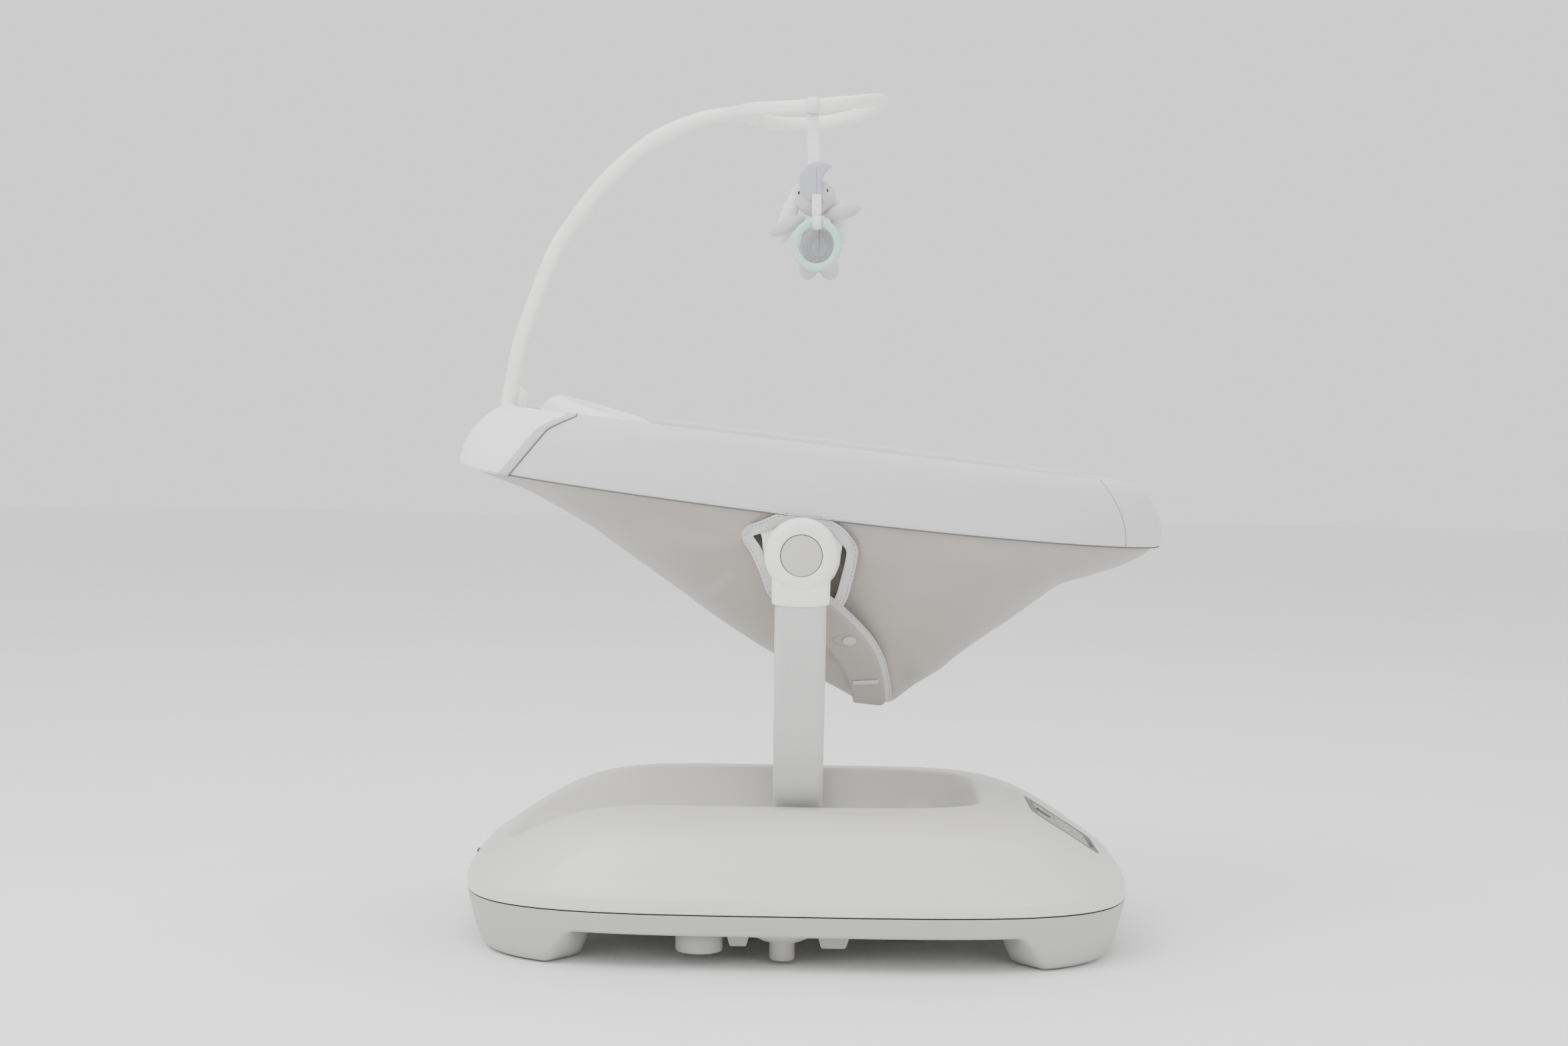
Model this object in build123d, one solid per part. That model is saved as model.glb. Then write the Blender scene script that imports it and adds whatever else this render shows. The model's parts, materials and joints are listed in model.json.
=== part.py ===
from build123d import *
import math
import os

# Baby swing, millimetres. Origin on the floor under the middle of the base.
# +X points to the foot end of the seat, -X to the head end, +Z up; the side arms are at -Y and +Y.

os.makedirs("parts", exist_ok=True)

# ---------------------------------------------------------------- driving dimensions
OUTLINE_POINTS = 24
SHELL_WALL = 3.0

# base housing: level outlines as (height, half length, half width, corner power)
UPPER_SECTIONS = [
    (58, 338.5, 249.5, 3.8),
    (70, 338, 249, 3.8),
    (78, 333, 244.5, 3.9),
    (88, 320, 238, 4.1),
    (103, 297, 229, 4.5),
    (118, 273, 218, 5.0),
    (130, 250, 206, 5.5),
    (140, 224, 190, 6.0),
    (146, 196, 174, 6.0),
    (148, 172, 160, 6.0),
]
LOWER_SECTIONS = [
    (3, 320, 230, 3.8),
    (12, 328, 238, 3.8),
    (36, 334, 245, 3.8),
    (57, 338.5, 249.5, 3.8),
]
# trough in the top: (height, head end x, foot end x, half width)
TROUGH_SECTIONS = [
    (85, -212, 165, 112),
    (93, -262, 170, 117),
    (101, -294, 174, 121),
    (125, -322, 182, 131),
    (152, -350, 190, 143),
]
TROUGH_POWER = 5.0
FLOOR_BOTTOM = 36.0
PAD_HEIGHT = 3.0
ARCH_X = 217.0
ARCH_Y = 108.0
SCREW_SPOTS = [(135, 205), (300, 60)]
SCREW_R = 1.75

# glide drive
GLIDE_TRAVEL = 40.0
RAIL_R = 5.0
RAIL_Y = 85.0
RAIL_Z = 61.0
RAIL_HALF = 150.0
FIT = 0.05
BLOCK_HALF_X = 66.0
BLOCK_HALF_Y = 106.0
BLOCK_Z = (49.0, 74.0)
BUSH_R = 8.0
BUSH_LENGTH = 14.0
MODULE = 1.5
PINION_TEETH = 18
PINION_R = MODULE * PINION_TEETH / 2
ADDENDUM = 0.8 * MODULE
DEDENDUM = 1.9
BACKLASH = 0.2
RACK_ROOT_Y = 113.0
GEAR_Z = (54.0, 64.0)
PINION_Y = RACK_ROOT_Y + DEDENDUM + PINION_R
CROSSBAR_Z = (90.0, 104.0)
POST_HALF_X = 26.0
POST_HALF_Y = 30.0

# yoke and hubs; the near side is -Y and the far side is its mirror image
HUB_Z = 406.0
HUB_R = 36.0
HUB_OUT = 235.0
HUB_IN = 209.0
ARM_WIDTH = 50.0
ARM_THICK = 22.0
ARM_Y = 222.0
ARM_TOP = 372.0
ARM_STRAIGHT = 352.0
AXLE_R = 8.0
BUTTON_R = 20.0
BUTTON_TRAVEL = 4.0

# seat, described in a plane that tilts down towards the foot end
SEAT_TILT = 6.2
SEAT_ORIGIN_Z = 480.0
RIM_CENTRE = 7.0
RIM_HALF_LENGTH = 360.0
RIM_HALF_WIDTH = 206.0
RIM_HALF_HEIGHT = 38.0
RIM_LEAN_X = 19.0
RIM_LEAN_Y = 4.0
RIM_POWER = 2.8
RIM_THICK = 26.0
RIM_SKIN = 4.0
FRAME_TUBE_R = 6.0
FRAME_TUBE_W = -20.0
# hammock outlines: (height in the seat plane, head end, foot end, half width)
BAG_SECTIONS = [
    (-36, -336, 350, 189),
    (-40, -335, 349, 188.5),
    (-50, -279, 342, 183),
    (-82, -209, 277, 170),
    (-122, -131, 234, 150),
    (-165, -50, 186, 120),
    (-200, 25, 143, 85),
    (-226, 88, 118, 38),
]
BAG_SKIN = 2.5
PAD_GAP = 4.0
PAD_INNER = 20.0
BACK_ANGLE = 26.7

# toy bar
BAR_R = 8.5
BAR_FOOT = (-306.0, 564.0)
BAR_LEAN = 9.7
BAR_POINTS = [(-290, 634), (-263, 705), (-214, 776), (-151, 829), (-78, 852)]
SPIGOT = 52.0
SOCKET_R = 13.0
RING_X = 4.0
RING_Z = 859.5
RING_HALF_X = 73.5
RING_HALF_Y = 88.5
RING_R = 6.5
TOY_X = 7.0
STRAP_X = 4.5

# control panel on the sloping foot end of the base
PANEL_X = 278.0
PANEL_Z = 112.3
PANEL_ANGLE = 32.0
PANEL_LENGTH = 86.0
PANEL_WIDTH = 118.0
PANEL_BUTTONS = {
    "power_button": (-22, 0, 9.0),
    "motion_button": (0, -26, 7.0),
    "timer_button": (0, 0, 7.0),
    "sound_button": (0, 26, 7.0),
    "volume_button": (20, 0, 7.0),
}

SEAT = Plane(
    origin=(0, 0, SEAT_ORIGIN_Z),
    x_dir=(math.cos(math.radians(SEAT_TILT)), 0, -math.sin(math.radians(SEAT_TILT))),
    z_dir=(math.sin(math.radians(SEAT_TILT)), 0, math.cos(math.radians(SEAT_TILT))),
)
PANEL = Plane(
    origin=(PANEL_X, 0, PANEL_Z),
    x_dir=(math.cos(math.radians(PANEL_ANGLE)), 0, -math.sin(math.radians(PANEL_ANGLE))),
    z_dir=(math.sin(math.radians(PANEL_ANGLE)), 0, math.cos(math.radians(PANEL_ANGLE))),
)


# ---------------------------------------------------------------- helpers
def save(name, shape):
    """Write one sub-part to its own file."""
    shape.label = name
    export_step(shape, f"parts/{name}.step")


def outline_points(centre, half_x, half_y, power, height):
    """Points of a rounded-rectangle (superellipse) outline in a level plane."""
    points = []
    for step in range(OUTLINE_POINTS):
        angle = 2 * math.pi * step / OUTLINE_POINTS
        cosine = math.cos(angle)
        sine = math.sin(angle)
        x = half_x * math.copysign(abs(cosine) ** (2 / power), cosine)
        y = half_y * math.copysign(abs(sine) ** (2 / power), sine)
        points.append((centre + x, y, height))
    return points


def outline(centre, half_x, half_y, power, height):
    """Face inside a superellipse outline."""
    return make_face(Spline(*outline_points(centre, half_x, half_y, power, height), periodic=True))


def block(x_range, y_range, z_range):
    """Box from its limits."""
    size = [high - low for low, high in (x_range, y_range, z_range)]
    middle = [(high + low) / 2 for low, high in (x_range, y_range, z_range)]
    return Pos(*middle) * Box(*size)


def rod_y(x, z, radius, y_range):
    """Round rod along Y."""
    length = y_range[1] - y_range[0]
    return Pos(x, (y_range[0] + y_range[1]) / 2, z) * Rot(90, 0, 0) * Cylinder(radius, length)


def rod_z(x, y, radius, z_range):
    """Round rod along Z."""
    length = z_range[1] - z_range[0]
    return Pos(x, y, (z_range[0] + z_range[1]) / 2) * Cylinder(radius, length)


def both_sides(shape):
    """The near shape and its mirror image on the far side, as separate solids."""
    return Compound(children=list(shape.solids()) + list(mirror(shape, about=Plane.XZ).solids()))


def group(shapes):
    """Several separate solids as one node."""
    solids = []
    for shape in shapes:
        solids.extend(shape.solids())
    return Compound(children=solids)


# ---------------------------------------------------------------- base housing
def arch_profile(reach, grow):
    """Half of the gap under the skirt between two feet, as points from the middle outwards."""
    top = FLOOR_BOTTOM + grow
    return [(reach + grow, top), (reach + 19 + grow, 24), (reach + 31 + grow, 8), (reach + 40 + grow, -6)]


def arch_cut(grow):
    """Space between the feet, along the length and along the width."""
    cuts = []
    for plane, reach in ((Plane.XZ, ARCH_X), (Plane.YZ, ARCH_Y)):
        right = arch_profile(reach, grow)
        left = [(-x, z) for x, z in reversed(right)]
        edges = [Spline(*right), Line(right[-1], left[0]), Spline(*left), Line(left[-1], right[0])]
        cuts.append(extrude(plane * make_face(edges), 400, both=True))
    return cuts[0] + cuts[1]


def level_loft(sections, inset, drop):
    """Solid through the base outlines, moved inwards by inset and down by drop."""
    faces = [outline(0, a - inset, b - inset, n, z - drop) for z, a, b, n in sections]
    return loft(faces)


def trough_solid(grow):
    """Space of the trough, grown sideways and downwards by a wall thickness."""
    faces = []
    for height, head, foot, half_width in TROUGH_SECTIONS:
        centre = (head + foot) / 2
        half = (foot - head) / 2 + grow
        faces.append(outline(centre, half, half_width + grow, TROUGH_POWER, height - grow))
    return loft(faces)


def lower_shell():
    """Lower tray with four hollow corner feet, drilled for the housing screws."""
    outer = level_loft(LOWER_SECTIONS, 0, 0)
    cavity_sections = [(z + SHELL_WALL, a, b, n) for z, a, b, n in LOWER_SECTIONS]
    cavity = level_loft(cavity_sections, SHELL_WALL, 0)
    shell = outer - arch_cut(0) - (cavity - arch_cut(SHELL_WALL))
    for x, y in screw_positions():
        shell -= rod_z(x, y, SCREW_R + 0.3, (30, 45))
    shell -= rod_z(CAN_X, -CAN_Y, CAN_R - 6, (30, 45))
    for detail in floor_details():
        shell += detail
    return shell


def foot_pads():
    """Rubber pad under each foot."""
    slab = extrude(outline(0, 313, 223, 3.8, 0), PAD_HEIGHT)
    return slab - arch_cut(5)


def screw_positions():
    """Housing screws, mirrored to all four quarters."""
    return [(sx * x, sy * y) for x, y in SCREW_SPOTS for sx in (-1, 1) for sy in (-1, 1)]


def screw_boss(x, y, dome):
    """Boss inside the upper shell that takes a screw from below."""
    floor_top = FLOOR_BOTTOM + SHELL_WALL
    low = rod_z(x, y, 6, (floor_top, 60))
    high = rod_z(x, y, 6, (58, 140)) & dome
    return low + high - rod_z(x, y, SCREW_R, (floor_top - 1, floor_top + 16))


def upper_shell():
    """Domed cover with the long trough, the slot for the post and the panel opening."""
    dome = level_loft(UPPER_SECTIONS, 0, 0)
    inner = level_loft(UPPER_SECTIONS, SHELL_WALL, SHELL_WALL)
    shell = dome - trough_solid(0) - (inner - trough_solid(SHELL_WALL))
    for x, y in screw_positions():
        shell += screw_boss(x, y, dome)
    slot_half_x = POST_HALF_X + GLIDE_TRAVEL + 2
    shell -= block((-slot_half_x, slot_half_x), (-POST_HALF_Y - 2, POST_HALF_Y + 2), (70, 95))
    shell -= PANEL * extrude(RectangleRounded(PANEL_LENGTH, PANEL_WIDTH, 16), 30, both=True)
    inlet_hole = block((-350, -300), (-7, 7), (62, 76))
    return shell - inlet_hole


def housing_screws():
    """Pan-head screws that hold the two shells together."""
    screws = []
    for x, y in screw_positions():
        head = rod_z(x, y, 4, (FLOOR_BOTTOM - 2.5, FLOOR_BOTTOM))
        screws.append(head + rod_z(x, y, SCREW_R, (FLOOR_BOTTOM, FLOOR_BOTTOM + 18)))
    return group(screws)


def dc_inlet():
    """Power inlet in the head end of the base."""
    body = block((-337, -312), (-6.8, 6.8), (62.2, 75.8))
    hole = Pos(-331, 0, 69) * Rot(0, 90, 0) * Cylinder(3.2, 14)
    pin = Pos(-330, 0, 69) * Rot(0, 90, 0) * Cylinder(1.0, 13)
    return body - hole + pin


# ---------------------------------------------------------------- underside details
CAN_X = -95.0
CAN_Y = 190.0
CAN_R = 23.5


def speaker_cup():
    """Round speaker housing below the floor, open at the top into the base."""
    cup = rod_z(CAN_X, -CAN_Y, CAN_R, (12, FLOOR_BOTTOM))
    hollow = rod_z(CAN_X, -CAN_Y, CAN_R - 3, (15, FLOOR_BOTTOM + 1))
    slots = [block((CAN_X - 12, CAN_X + 12), (-CAN_Y + y - 1, -CAN_Y + y + 1), (10, 16)) for y in (-8, 0, 8)]
    for slot in slots:
        cup -= slot
    return cup - hollow


def speaker():
    """Speaker basket and magnet in the cup."""
    rim = rod_z(CAN_X, -CAN_Y, CAN_R - 3.3, (16, 19))
    return rim + rod_z(CAN_X, -CAN_Y, 12, (19, 33))


def floor_details():
    """Post with a domed flange, stiffening pockets and a web, all moulded under the floor."""
    details = [rod_z(-13, -190, 12.5, (4, 24)), rod_z(-13, -190, 28, (24, FLOOR_BOTTOM))]
    for x, half in ((-56, 6), (38, 12)):
        profile = Plane.XZ.offset(175) * Polyline(
            (x - half - 5, FLOOR_BOTTOM), (x + half + 5, FLOOR_BOTTOM), (x + half, 18), (x - half, 18), close=True
        )
        details.append(extrude(make_face(profile), 26))
    web = Plane.XZ.offset(160) * Polyline((52, FLOOR_BOTTOM), (140, FLOOR_BOTTOM), (52, 22), close=True)
    details.append(extrude(make_face(web), 4))
    return details


# ---------------------------------------------------------------- glide drive
def glide_rails():
    """Two steel rods that the carriage glides on."""
    rods = []
    for side in (-1, 1):
        rods.append(Pos(0, side * RAIL_Y, RAIL_Z) * Rot(0, 90, 0) * Cylinder(RAIL_R, 2 * RAIL_HALF))
    return group(rods)


def rail_brackets():
    """Brackets on the floor that hold the rod ends."""
    brackets = []
    for end in (-1, 1):
        for side in (-1, 1):
            x = end * (RAIL_HALF - 5)
            y = side * RAIL_Y
            body = block((x - 6, x + 6), (y - 12, y + 12), (FLOOR_BOTTOM + SHELL_WALL, RAIL_Z + 10))
            brackets.append(body - Pos(x, y, RAIL_Z) * Rot(0, 90, 0) * Cylinder(RAIL_R, 14))
    return group(brackets)


def carriage_block():
    """Block that glides on the rods and carries the yoke."""
    body = block((-BLOCK_HALF_X, BLOCK_HALF_X), (-BLOCK_HALF_Y, BLOCK_HALF_Y), BLOCK_Z)
    for side in (-1, 1):
        hole = Pos(0, side * RAIL_Y, RAIL_Z) * Rot(0, 90, 0)
        body -= hole * Cylinder(RAIL_R + 1, 2 * BLOCK_HALF_X + 2)
        for end in (-1, 1):
            seat = Pos(end * (BLOCK_HALF_X - BUSH_LENGTH / 2), 0, 0) * hole
            body -= seat * Cylinder(BUSH_R, BUSH_LENGTH)
    return body


def carriage_bushes():
    """Plain bushes pressed into the block."""
    bushes = []
    for side in (-1, 1):
        for end in (-1, 1):
            place = Pos(end * (BLOCK_HALF_X - BUSH_LENGTH / 2), side * RAIL_Y, RAIL_Z) * Rot(0, 90, 0)
            ring = Cylinder(BUSH_R, BUSH_LENGTH) - Cylinder(RAIL_R + FIT, BUSH_LENGTH + 1)
            bushes.append(place * ring)
    return group(bushes)


def drive_rack():
    """Toothed rack on the side of the block."""
    pitch = math.pi * MODULE
    low, high = GEAR_Z
    body = block((-BLOCK_HALF_X, BLOCK_HALF_X), (BLOCK_HALF_Y, RACK_ROOT_Y), GEAR_Z)
    slope = math.tan(math.radians(20))
    at_pitch = pitch / 4 - BACKLASH
    root = at_pitch + DEDENDUM * slope
    tip = at_pitch - ADDENDUM * slope
    tip_y = RACK_ROOT_Y + DEDENDUM + ADDENDUM
    count = int(BLOCK_HALF_X / pitch) - 1
    for index in range(-count, count + 1):
        x = index * pitch
        corners = [(x - root, RACK_ROOT_Y - 0.2), (x + root, RACK_ROOT_Y - 0.2), (x + tip, tip_y), (x - tip, tip_y)]
        tooth = make_face(Polyline(*corners, close=True))
        body += Pos(0, 0, low) * extrude(tooth, high - low)
    return body


def involute_angle(radius, base_radius):
    """Polar angle gained along an involute at a radius."""
    if radius <= base_radius:
        return 0.0
    roll = math.acos(base_radius / radius)
    return math.tan(roll) - roll


def drive_pinion():
    """Spur pinion with its shaft; a tooth gap faces the rack."""
    base_radius = PINION_R * math.cos(math.radians(20))
    half_tooth = math.pi / (2 * PINION_TEETH) + involute_angle(PINION_R, base_radius) - BACKLASH / PINION_R
    root_r = PINION_R - DEDENDUM
    tip_r = PINION_R + ADDENDUM
    radii = [root_r, base_radius, PINION_R, tip_r]
    points = []
    for tooth in range(PINION_TEETH):
        centre = 2 * math.pi * tooth / PINION_TEETH
        flank = [(r, half_tooth - involute_angle(r, base_radius)) for r in radii]
        for r, angle in flank:
            points.append((r * math.cos(centre - angle), r * math.sin(centre - angle)))
        for r, angle in reversed(flank):
            points.append((r * math.cos(centre + angle), r * math.sin(centre + angle)))
    low, high = GEAR_Z
    gear = Pos(0, PINION_Y, low) * extrude(make_face(Polyline(*points, close=True)), high - low)
    return gear + rod_z(0, PINION_Y, 3, (high, 75))


def gear_motor():
    """Sealed gear motor beside the trough; its output bore turns the pinion."""
    gearbox = block((-20, 20), (114, 186), (66, 78))
    motor = rod_z(0, 168, 15, (78, 118))
    return gearbox + motor - rod_z(0, PINION_Y, 3 + FIT, (65, 76))


def motor_bracket():
    """Two posts that hold the gearbox above the floor."""
    posts = []
    for side in (-1, 1):
        posts.append(block((side * 16 - 4, side * 16 + 4), (150, 184), (FLOOR_BOTTOM + SHELL_WALL, 66)))
    return group(posts)


def slot_cover():
    """Thin cover that slides over the slot with the post."""
    half_x = POST_HALF_X + 2 * GLIDE_TRAVEL + 8
    plate = block((-half_x, half_x), (-POST_HALF_Y - 9, POST_HALF_Y + 9), (85.4, 87))
    return plate - block((-POST_HALF_X, POST_HALF_X), (-POST_HALF_Y, POST_HALF_Y), (80, 90))


# ---------------------------------------------------------------- yoke
def yoke_crossbar():
    """Foot of the yoke: a bar across the trough with a post down to the carriage."""
    bar = extrude(Pos(0, 0, CROSSBAR_Z[0]) * RectangleRounded(58, 222, 20), CROSSBAR_Z[1] - CROSSBAR_Z[0])
    post = block((-POST_HALF_X, POST_HALF_X), (-POST_HALF_Y, POST_HALF_Y), (BLOCK_Z[1], CROSSBAR_Z[0]))
    return bar + post


def yoke_arm():
    """Near arm: a flat oval tube that curves out from the trough up to the hub."""
    path = Plane.YZ * Spline(
        (-ARM_Y, ARM_STRAIGHT),
        (-210, 298),
        (-168, 212),
        (-113, 144),
        (-92, 98),
        tangents=((0, -1), (0.3, -1)),
    )
    section = RectangleRounded(ARM_WIDTH, ARM_THICK, 8)
    arm = sweep(Plane(origin=path @ 0, x_dir=(1, 0, 0), z_dir=path % 0) * section, path)
    arm += Pos(0, -ARM_Y, ARM_STRAIGHT) * extrude(section, ARM_TOP - ARM_STRAIGHT)
    return arm - block((-60, 60), (-200, 0), (60, CROSSBAR_Z[1]))


def hub_housing():
    """Near hub: a round cup with a collar that takes the top of the arm."""
    drum = rod_y(0, HUB_Z, HUB_R, (-HUB_OUT, -HUB_IN))
    collar = block((-28, 28), (-HUB_OUT, -HUB_IN), (360, 390))
    body = drum + fillet(collar.edges().filter_by(Axis.Z), 8)
    body -= rod_y(0, HUB_Z, BUTTON_R + 0.4, (-HUB_OUT - 1, -217))
    body -= rod_y(0, HUB_Z, 30, (-213, -HUB_IN + 1))
    body -= rod_y(0, HUB_Z, 11, (-220, -210))
    arm_top = Pos(0, -ARM_Y, ARM_STRAIGHT) * extrude(RectangleRounded(ARM_WIDTH, ARM_THICK, 8), ARM_TOP - ARM_STRAIGHT)
    return body - arm_top


def hub_bush():
    """Near bearing bush for the seat axle."""
    return rod_y(0, HUB_Z, 11, (-217, -213)) - rod_y(0, HUB_Z, AXLE_R + FIT, (-218, -212))


def hub_spring():
    """Near return spring of the release button, drawn as its coils when pressed flat."""
    coils = []
    for index in range(3):
        coils.append(Pos(0, -218.4 - 2.0 * index, HUB_Z) * Rot(90, 0, 0) * Torus(13, 0.9))
    return group(coils)


def hub_button():
    """Near round release button, flush with the hub."""
    disc = rod_y(0, HUB_Z, BUTTON_R, (-HUB_OUT, -HUB_OUT + 4))
    skirt = rod_y(0, HUB_Z, BUTTON_R, (-HUB_OUT + 4, -222)) - rod_y(0, HUB_Z, BUTTON_R - 3, (-HUB_OUT + 3, -221))
    return disc + skirt


def hub_axle():
    """Near seat axle, a stub shaft through the hub bush."""
    return rod_y(0, HUB_Z, AXLE_R, (-222, -197))


def recline_disc():
    """Near toothed locking disc on the seat bracket."""
    disc = rod_y(0, HUB_Z, 26, (-208, -197)) - rod_y(0, HUB_Z, AXLE_R, (-210, -195))
    teeth = 24
    for index in range(teeth):
        angle = 2 * math.pi * index / teeth
        disc -= rod_y(26.5 * math.cos(angle), HUB_Z + 26.5 * math.sin(angle), 1.8, (-210, -195))
    return disc


def seat_bracket():
    """Near bracket: a round plate at the hub with a neck up to the frame tube."""
    plate = rod_y(0, HUB_Z, 32, (-197, -191))
    neck = block((-24, 24), (-197, -191), (HUB_Z, 452))
    return plate + neck - frame_tube_solid(FRAME_TUBE_R + 0.05)


# ---------------------------------------------------------------- seat
def rim_half(height):
    """Half length and half width of the rim at a height in the seat plane."""
    share = (height + RIM_HALF_HEIGHT) / (2 * RIM_HALF_HEIGHT)
    return RIM_HALF_LENGTH - RIM_LEAN_X * share, RIM_HALF_WIDTH - RIM_LEAN_Y * share


def rim_loft(inset, low, high):
    """Solid inside the rim outline, between two heights in the seat plane."""
    faces = []
    for height in (low, high):
        half_x, half_y = rim_half(height)
        faces.append(outline(RIM_CENTRE, half_x - inset, half_y - inset, RIM_POWER, height))
    return loft(faces)


def socket_axis(distance):
    """Place on the toy bar's straight foot, at a distance below where it starts to curve."""
    lean = math.radians(BAR_LEAN)
    x = BAR_FOOT[0] - distance * math.sin(lean)
    z = BAR_FOOT[1] - distance * math.cos(lean)
    return Plane(origin=(x, 0, z), x_dir=(math.cos(lean), 0, -math.sin(lean)), z_dir=(math.sin(lean), 0, math.cos(lean)))


def socket_rod(radius, start, length):
    """Round rod on the socket axis, from a distance below the foot upwards."""
    return socket_axis(start) * extrude(Circle(radius), length)


def rim_band():
    """Padded fabric band round the seat, a sleeve open below over the frame tube."""
    top = RIM_HALF_HEIGHT
    wall = rim_loft(0, -top, top) - rim_loft(RIM_THICK, -top - 1, top + 1)
    channel = rim_loft(RIM_SKIN, -top - 1, top - 5) - rim_loft(RIM_THICK - RIM_SKIN, -top - 1, top - 5)
    band = SEAT * (wall - channel)
    return band - socket_rod(SOCKET_R + 0.3, 80, 100)


def head_cover():
    """White cover over the head end of the rim."""
    top = RIM_HALF_HEIGHT
    skin = rim_loft(-2.6, -top, top + 2.6) - rim_loft(-0.3, -top - 1, top + 0.3)
    skin -= rim_loft(RIM_THICK + 0.3, -top - 1, top + 5)
    cut = Polyline((-600, -80), (-262, -80), (-205, 80), (-600, 80), close=True)
    keep = extrude(Plane.XZ * make_face(cut), 400, both=True)
    cover = SEAT * (skin & keep)
    return cover - socket_rod(12.5, 80, 100) - block((-310, -280), (-8, 8), (530, 570))


def frame_tube_solid(radius):
    """Closed loop of round bar along the rim."""
    half_x, half_y = rim_half(FRAME_TUBE_W)
    inset = RIM_THICK / 2
    points = outline_points(RIM_CENTRE, half_x - inset, half_y - inset, RIM_POWER, FRAME_TUBE_W)
    path = Spline(*points, periodic=True)
    section = Plane(origin=path @ 0, z_dir=path % 0) * Circle(radius)
    return SEAT * sweep(section, path)


def seat_frame_tube():
    """Aluminium tube that gives the seat its outline."""
    return frame_tube_solid(FRAME_TUBE_R) - frame_tube_solid(FRAME_TUBE_R - 1.5)


def bag_loft(inset, top):
    """Solid inside the hammock outline, moved inwards by inset and cut off at a top height."""
    faces = []
    for height, head, foot, half_width in BAG_SECTIONS:
        centre = (head + foot) / 2
        half_x = max((foot - head) / 2 - 0.8 * inset, 4)
        faces.append(outline(centre, half_x, half_width - 0.8 * inset, RIM_POWER, height + 0.7 * inset))
    return loft(faces, ruled=True) - block((-500, 500), (-400, 400), (top, 100))


def seat_bag():
    """Fabric hammock below the rim."""
    top = BAG_SECTIONS[0][0]
    return SEAT * (bag_loft(0, top) - bag_loft(BAG_SKIN, top + 1))


def seat_pad():
    """Padded liner inside the hammock."""
    top = BAG_SECTIONS[0][0]
    return SEAT * (bag_loft(PAD_GAP, top - 2) - bag_loft(PAD_INNER, top - 1))


def head_pillow():
    """Horseshoe head support inside the head end."""
    tilt = math.radians(10.6)
    place = Plane(origin=(-262, 0, 25), x_dir=(math.cos(tilt), 0, -math.sin(tilt)), z_dir=(math.sin(tilt), 0, math.cos(tilt)))
    path = place * Spline((105, -112), (60, -112), (12, -78), (0, 0), (12, 78), (60, 112), (105, 112))
    section = Plane(origin=path @ 0, z_dir=path % 0) * Circle(22)
    return SEAT * sweep(section, path)


def back_plane():
    """Plane on the liner where the back rests, x down the slope, origin in the middle."""
    slope = math.radians(BACK_ANGLE)
    local = Plane(origin=(-60, 0, -135), x_dir=(math.cos(slope), 0, -math.sin(slope)), z_dir=(math.sin(slope), 0, math.cos(slope)))
    return SEAT.location * local.location


def clear_of_pad(shape):
    """Take away whatever would sink into the liner."""
    top = BAG_SECTIONS[0][0]
    return shape - SEAT * (bag_loft(PAD_GAP, top - 2) - bag_loft(PAD_INNER - 1, top - 1))


BACK = back_plane()
BUCKLE_X = 78.0


def shoulder_straps():
    """Two shoulder straps down the back to the buckle."""
    straps = []
    for side in (-1, 1):
        corners = [(-95, side * 52), (-95, side * 30), (BUCKLE_X - 24, side * 6), (BUCKLE_X - 24, side * 20)]
        face = make_face(Polyline(*corners, close=True))
        straps.append(clear_of_pad(BACK * Pos(0, 0, 7) * extrude(face, 3)))
    return group(straps)


def waist_straps():
    """Two waist straps from the sides to the buckle."""
    straps = []
    for side in (-1, 1):
        tilt = side * math.degrees(math.atan2(22, 72))
        strap = BACK * Pos(BUCKLE_X, side * 60, 21) * Rot(tilt, 0, 0) * Box(24, 72, 3)
        straps.append(clear_of_pad(strap))
    return group(straps)


def crotch_strap():
    """Strap from the seat up to the buckle."""
    return clear_of_pad(BACK * Pos(BUCKLE_X + 42, 0, 9) * Box(44, 28, 3))


def buckle_body():
    """Moulded buckle of the harness."""
    shell = BACK * Pos(BUCKLE_X, 0, 5) * extrude(RectangleRounded(40, 44, 8), 13)
    return shell - BACK * Pos(BUCKLE_X, 0, 9) * extrude(Circle(9.3), 12)


def buckle_button():
    """Round release button in the buckle."""
    return BACK * Pos(BUCKLE_X, 0, 12) * extrude(Circle(9), 6.5)


def toy_bar_socket():
    """Socket clamped on the frame tube that takes the foot of the toy bar."""
    body = socket_rod(SOCKET_R, 62, 36)
    bore = socket_rod(BAR_R + 0.08, SPIGOT + 1, 60)
    return body - bore - frame_tube_solid(FRAME_TUBE_R + 0.05)


def bag_snaps():
    """Snap fasteners that close the hammock's side flap, one on each side."""
    return both_sides(rod_y(52, 366, 5, (-188.5, -184)))


# ---------------------------------------------------------------- toy bar and toy
def ring_point(angle):
    """Centre line of the ring at the end of the toy bar; its sides sag a little."""
    return (
        RING_X + RING_HALF_X * math.cos(angle),
        RING_HALF_Y * math.sin(angle),
        RING_Z + 6.5 * math.cos(angle) - 7.5 * math.sin(angle) ** 2,
    )


def toy_ring():
    """Open ring that toys hang from, swept as two halves."""
    points = [ring_point(math.pi * step / 10) for step in range(11)]
    path = Spline(*points, tangents=((0, 1, 0), (0, -1, 0)))
    half = sweep(Plane(origin=path @ 0, z_dir=path % 0) * Circle(RING_R), path)
    return half + mirror(half, about=Plane.XZ)


LATCH_Z = (541.0, 561.0)


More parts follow.
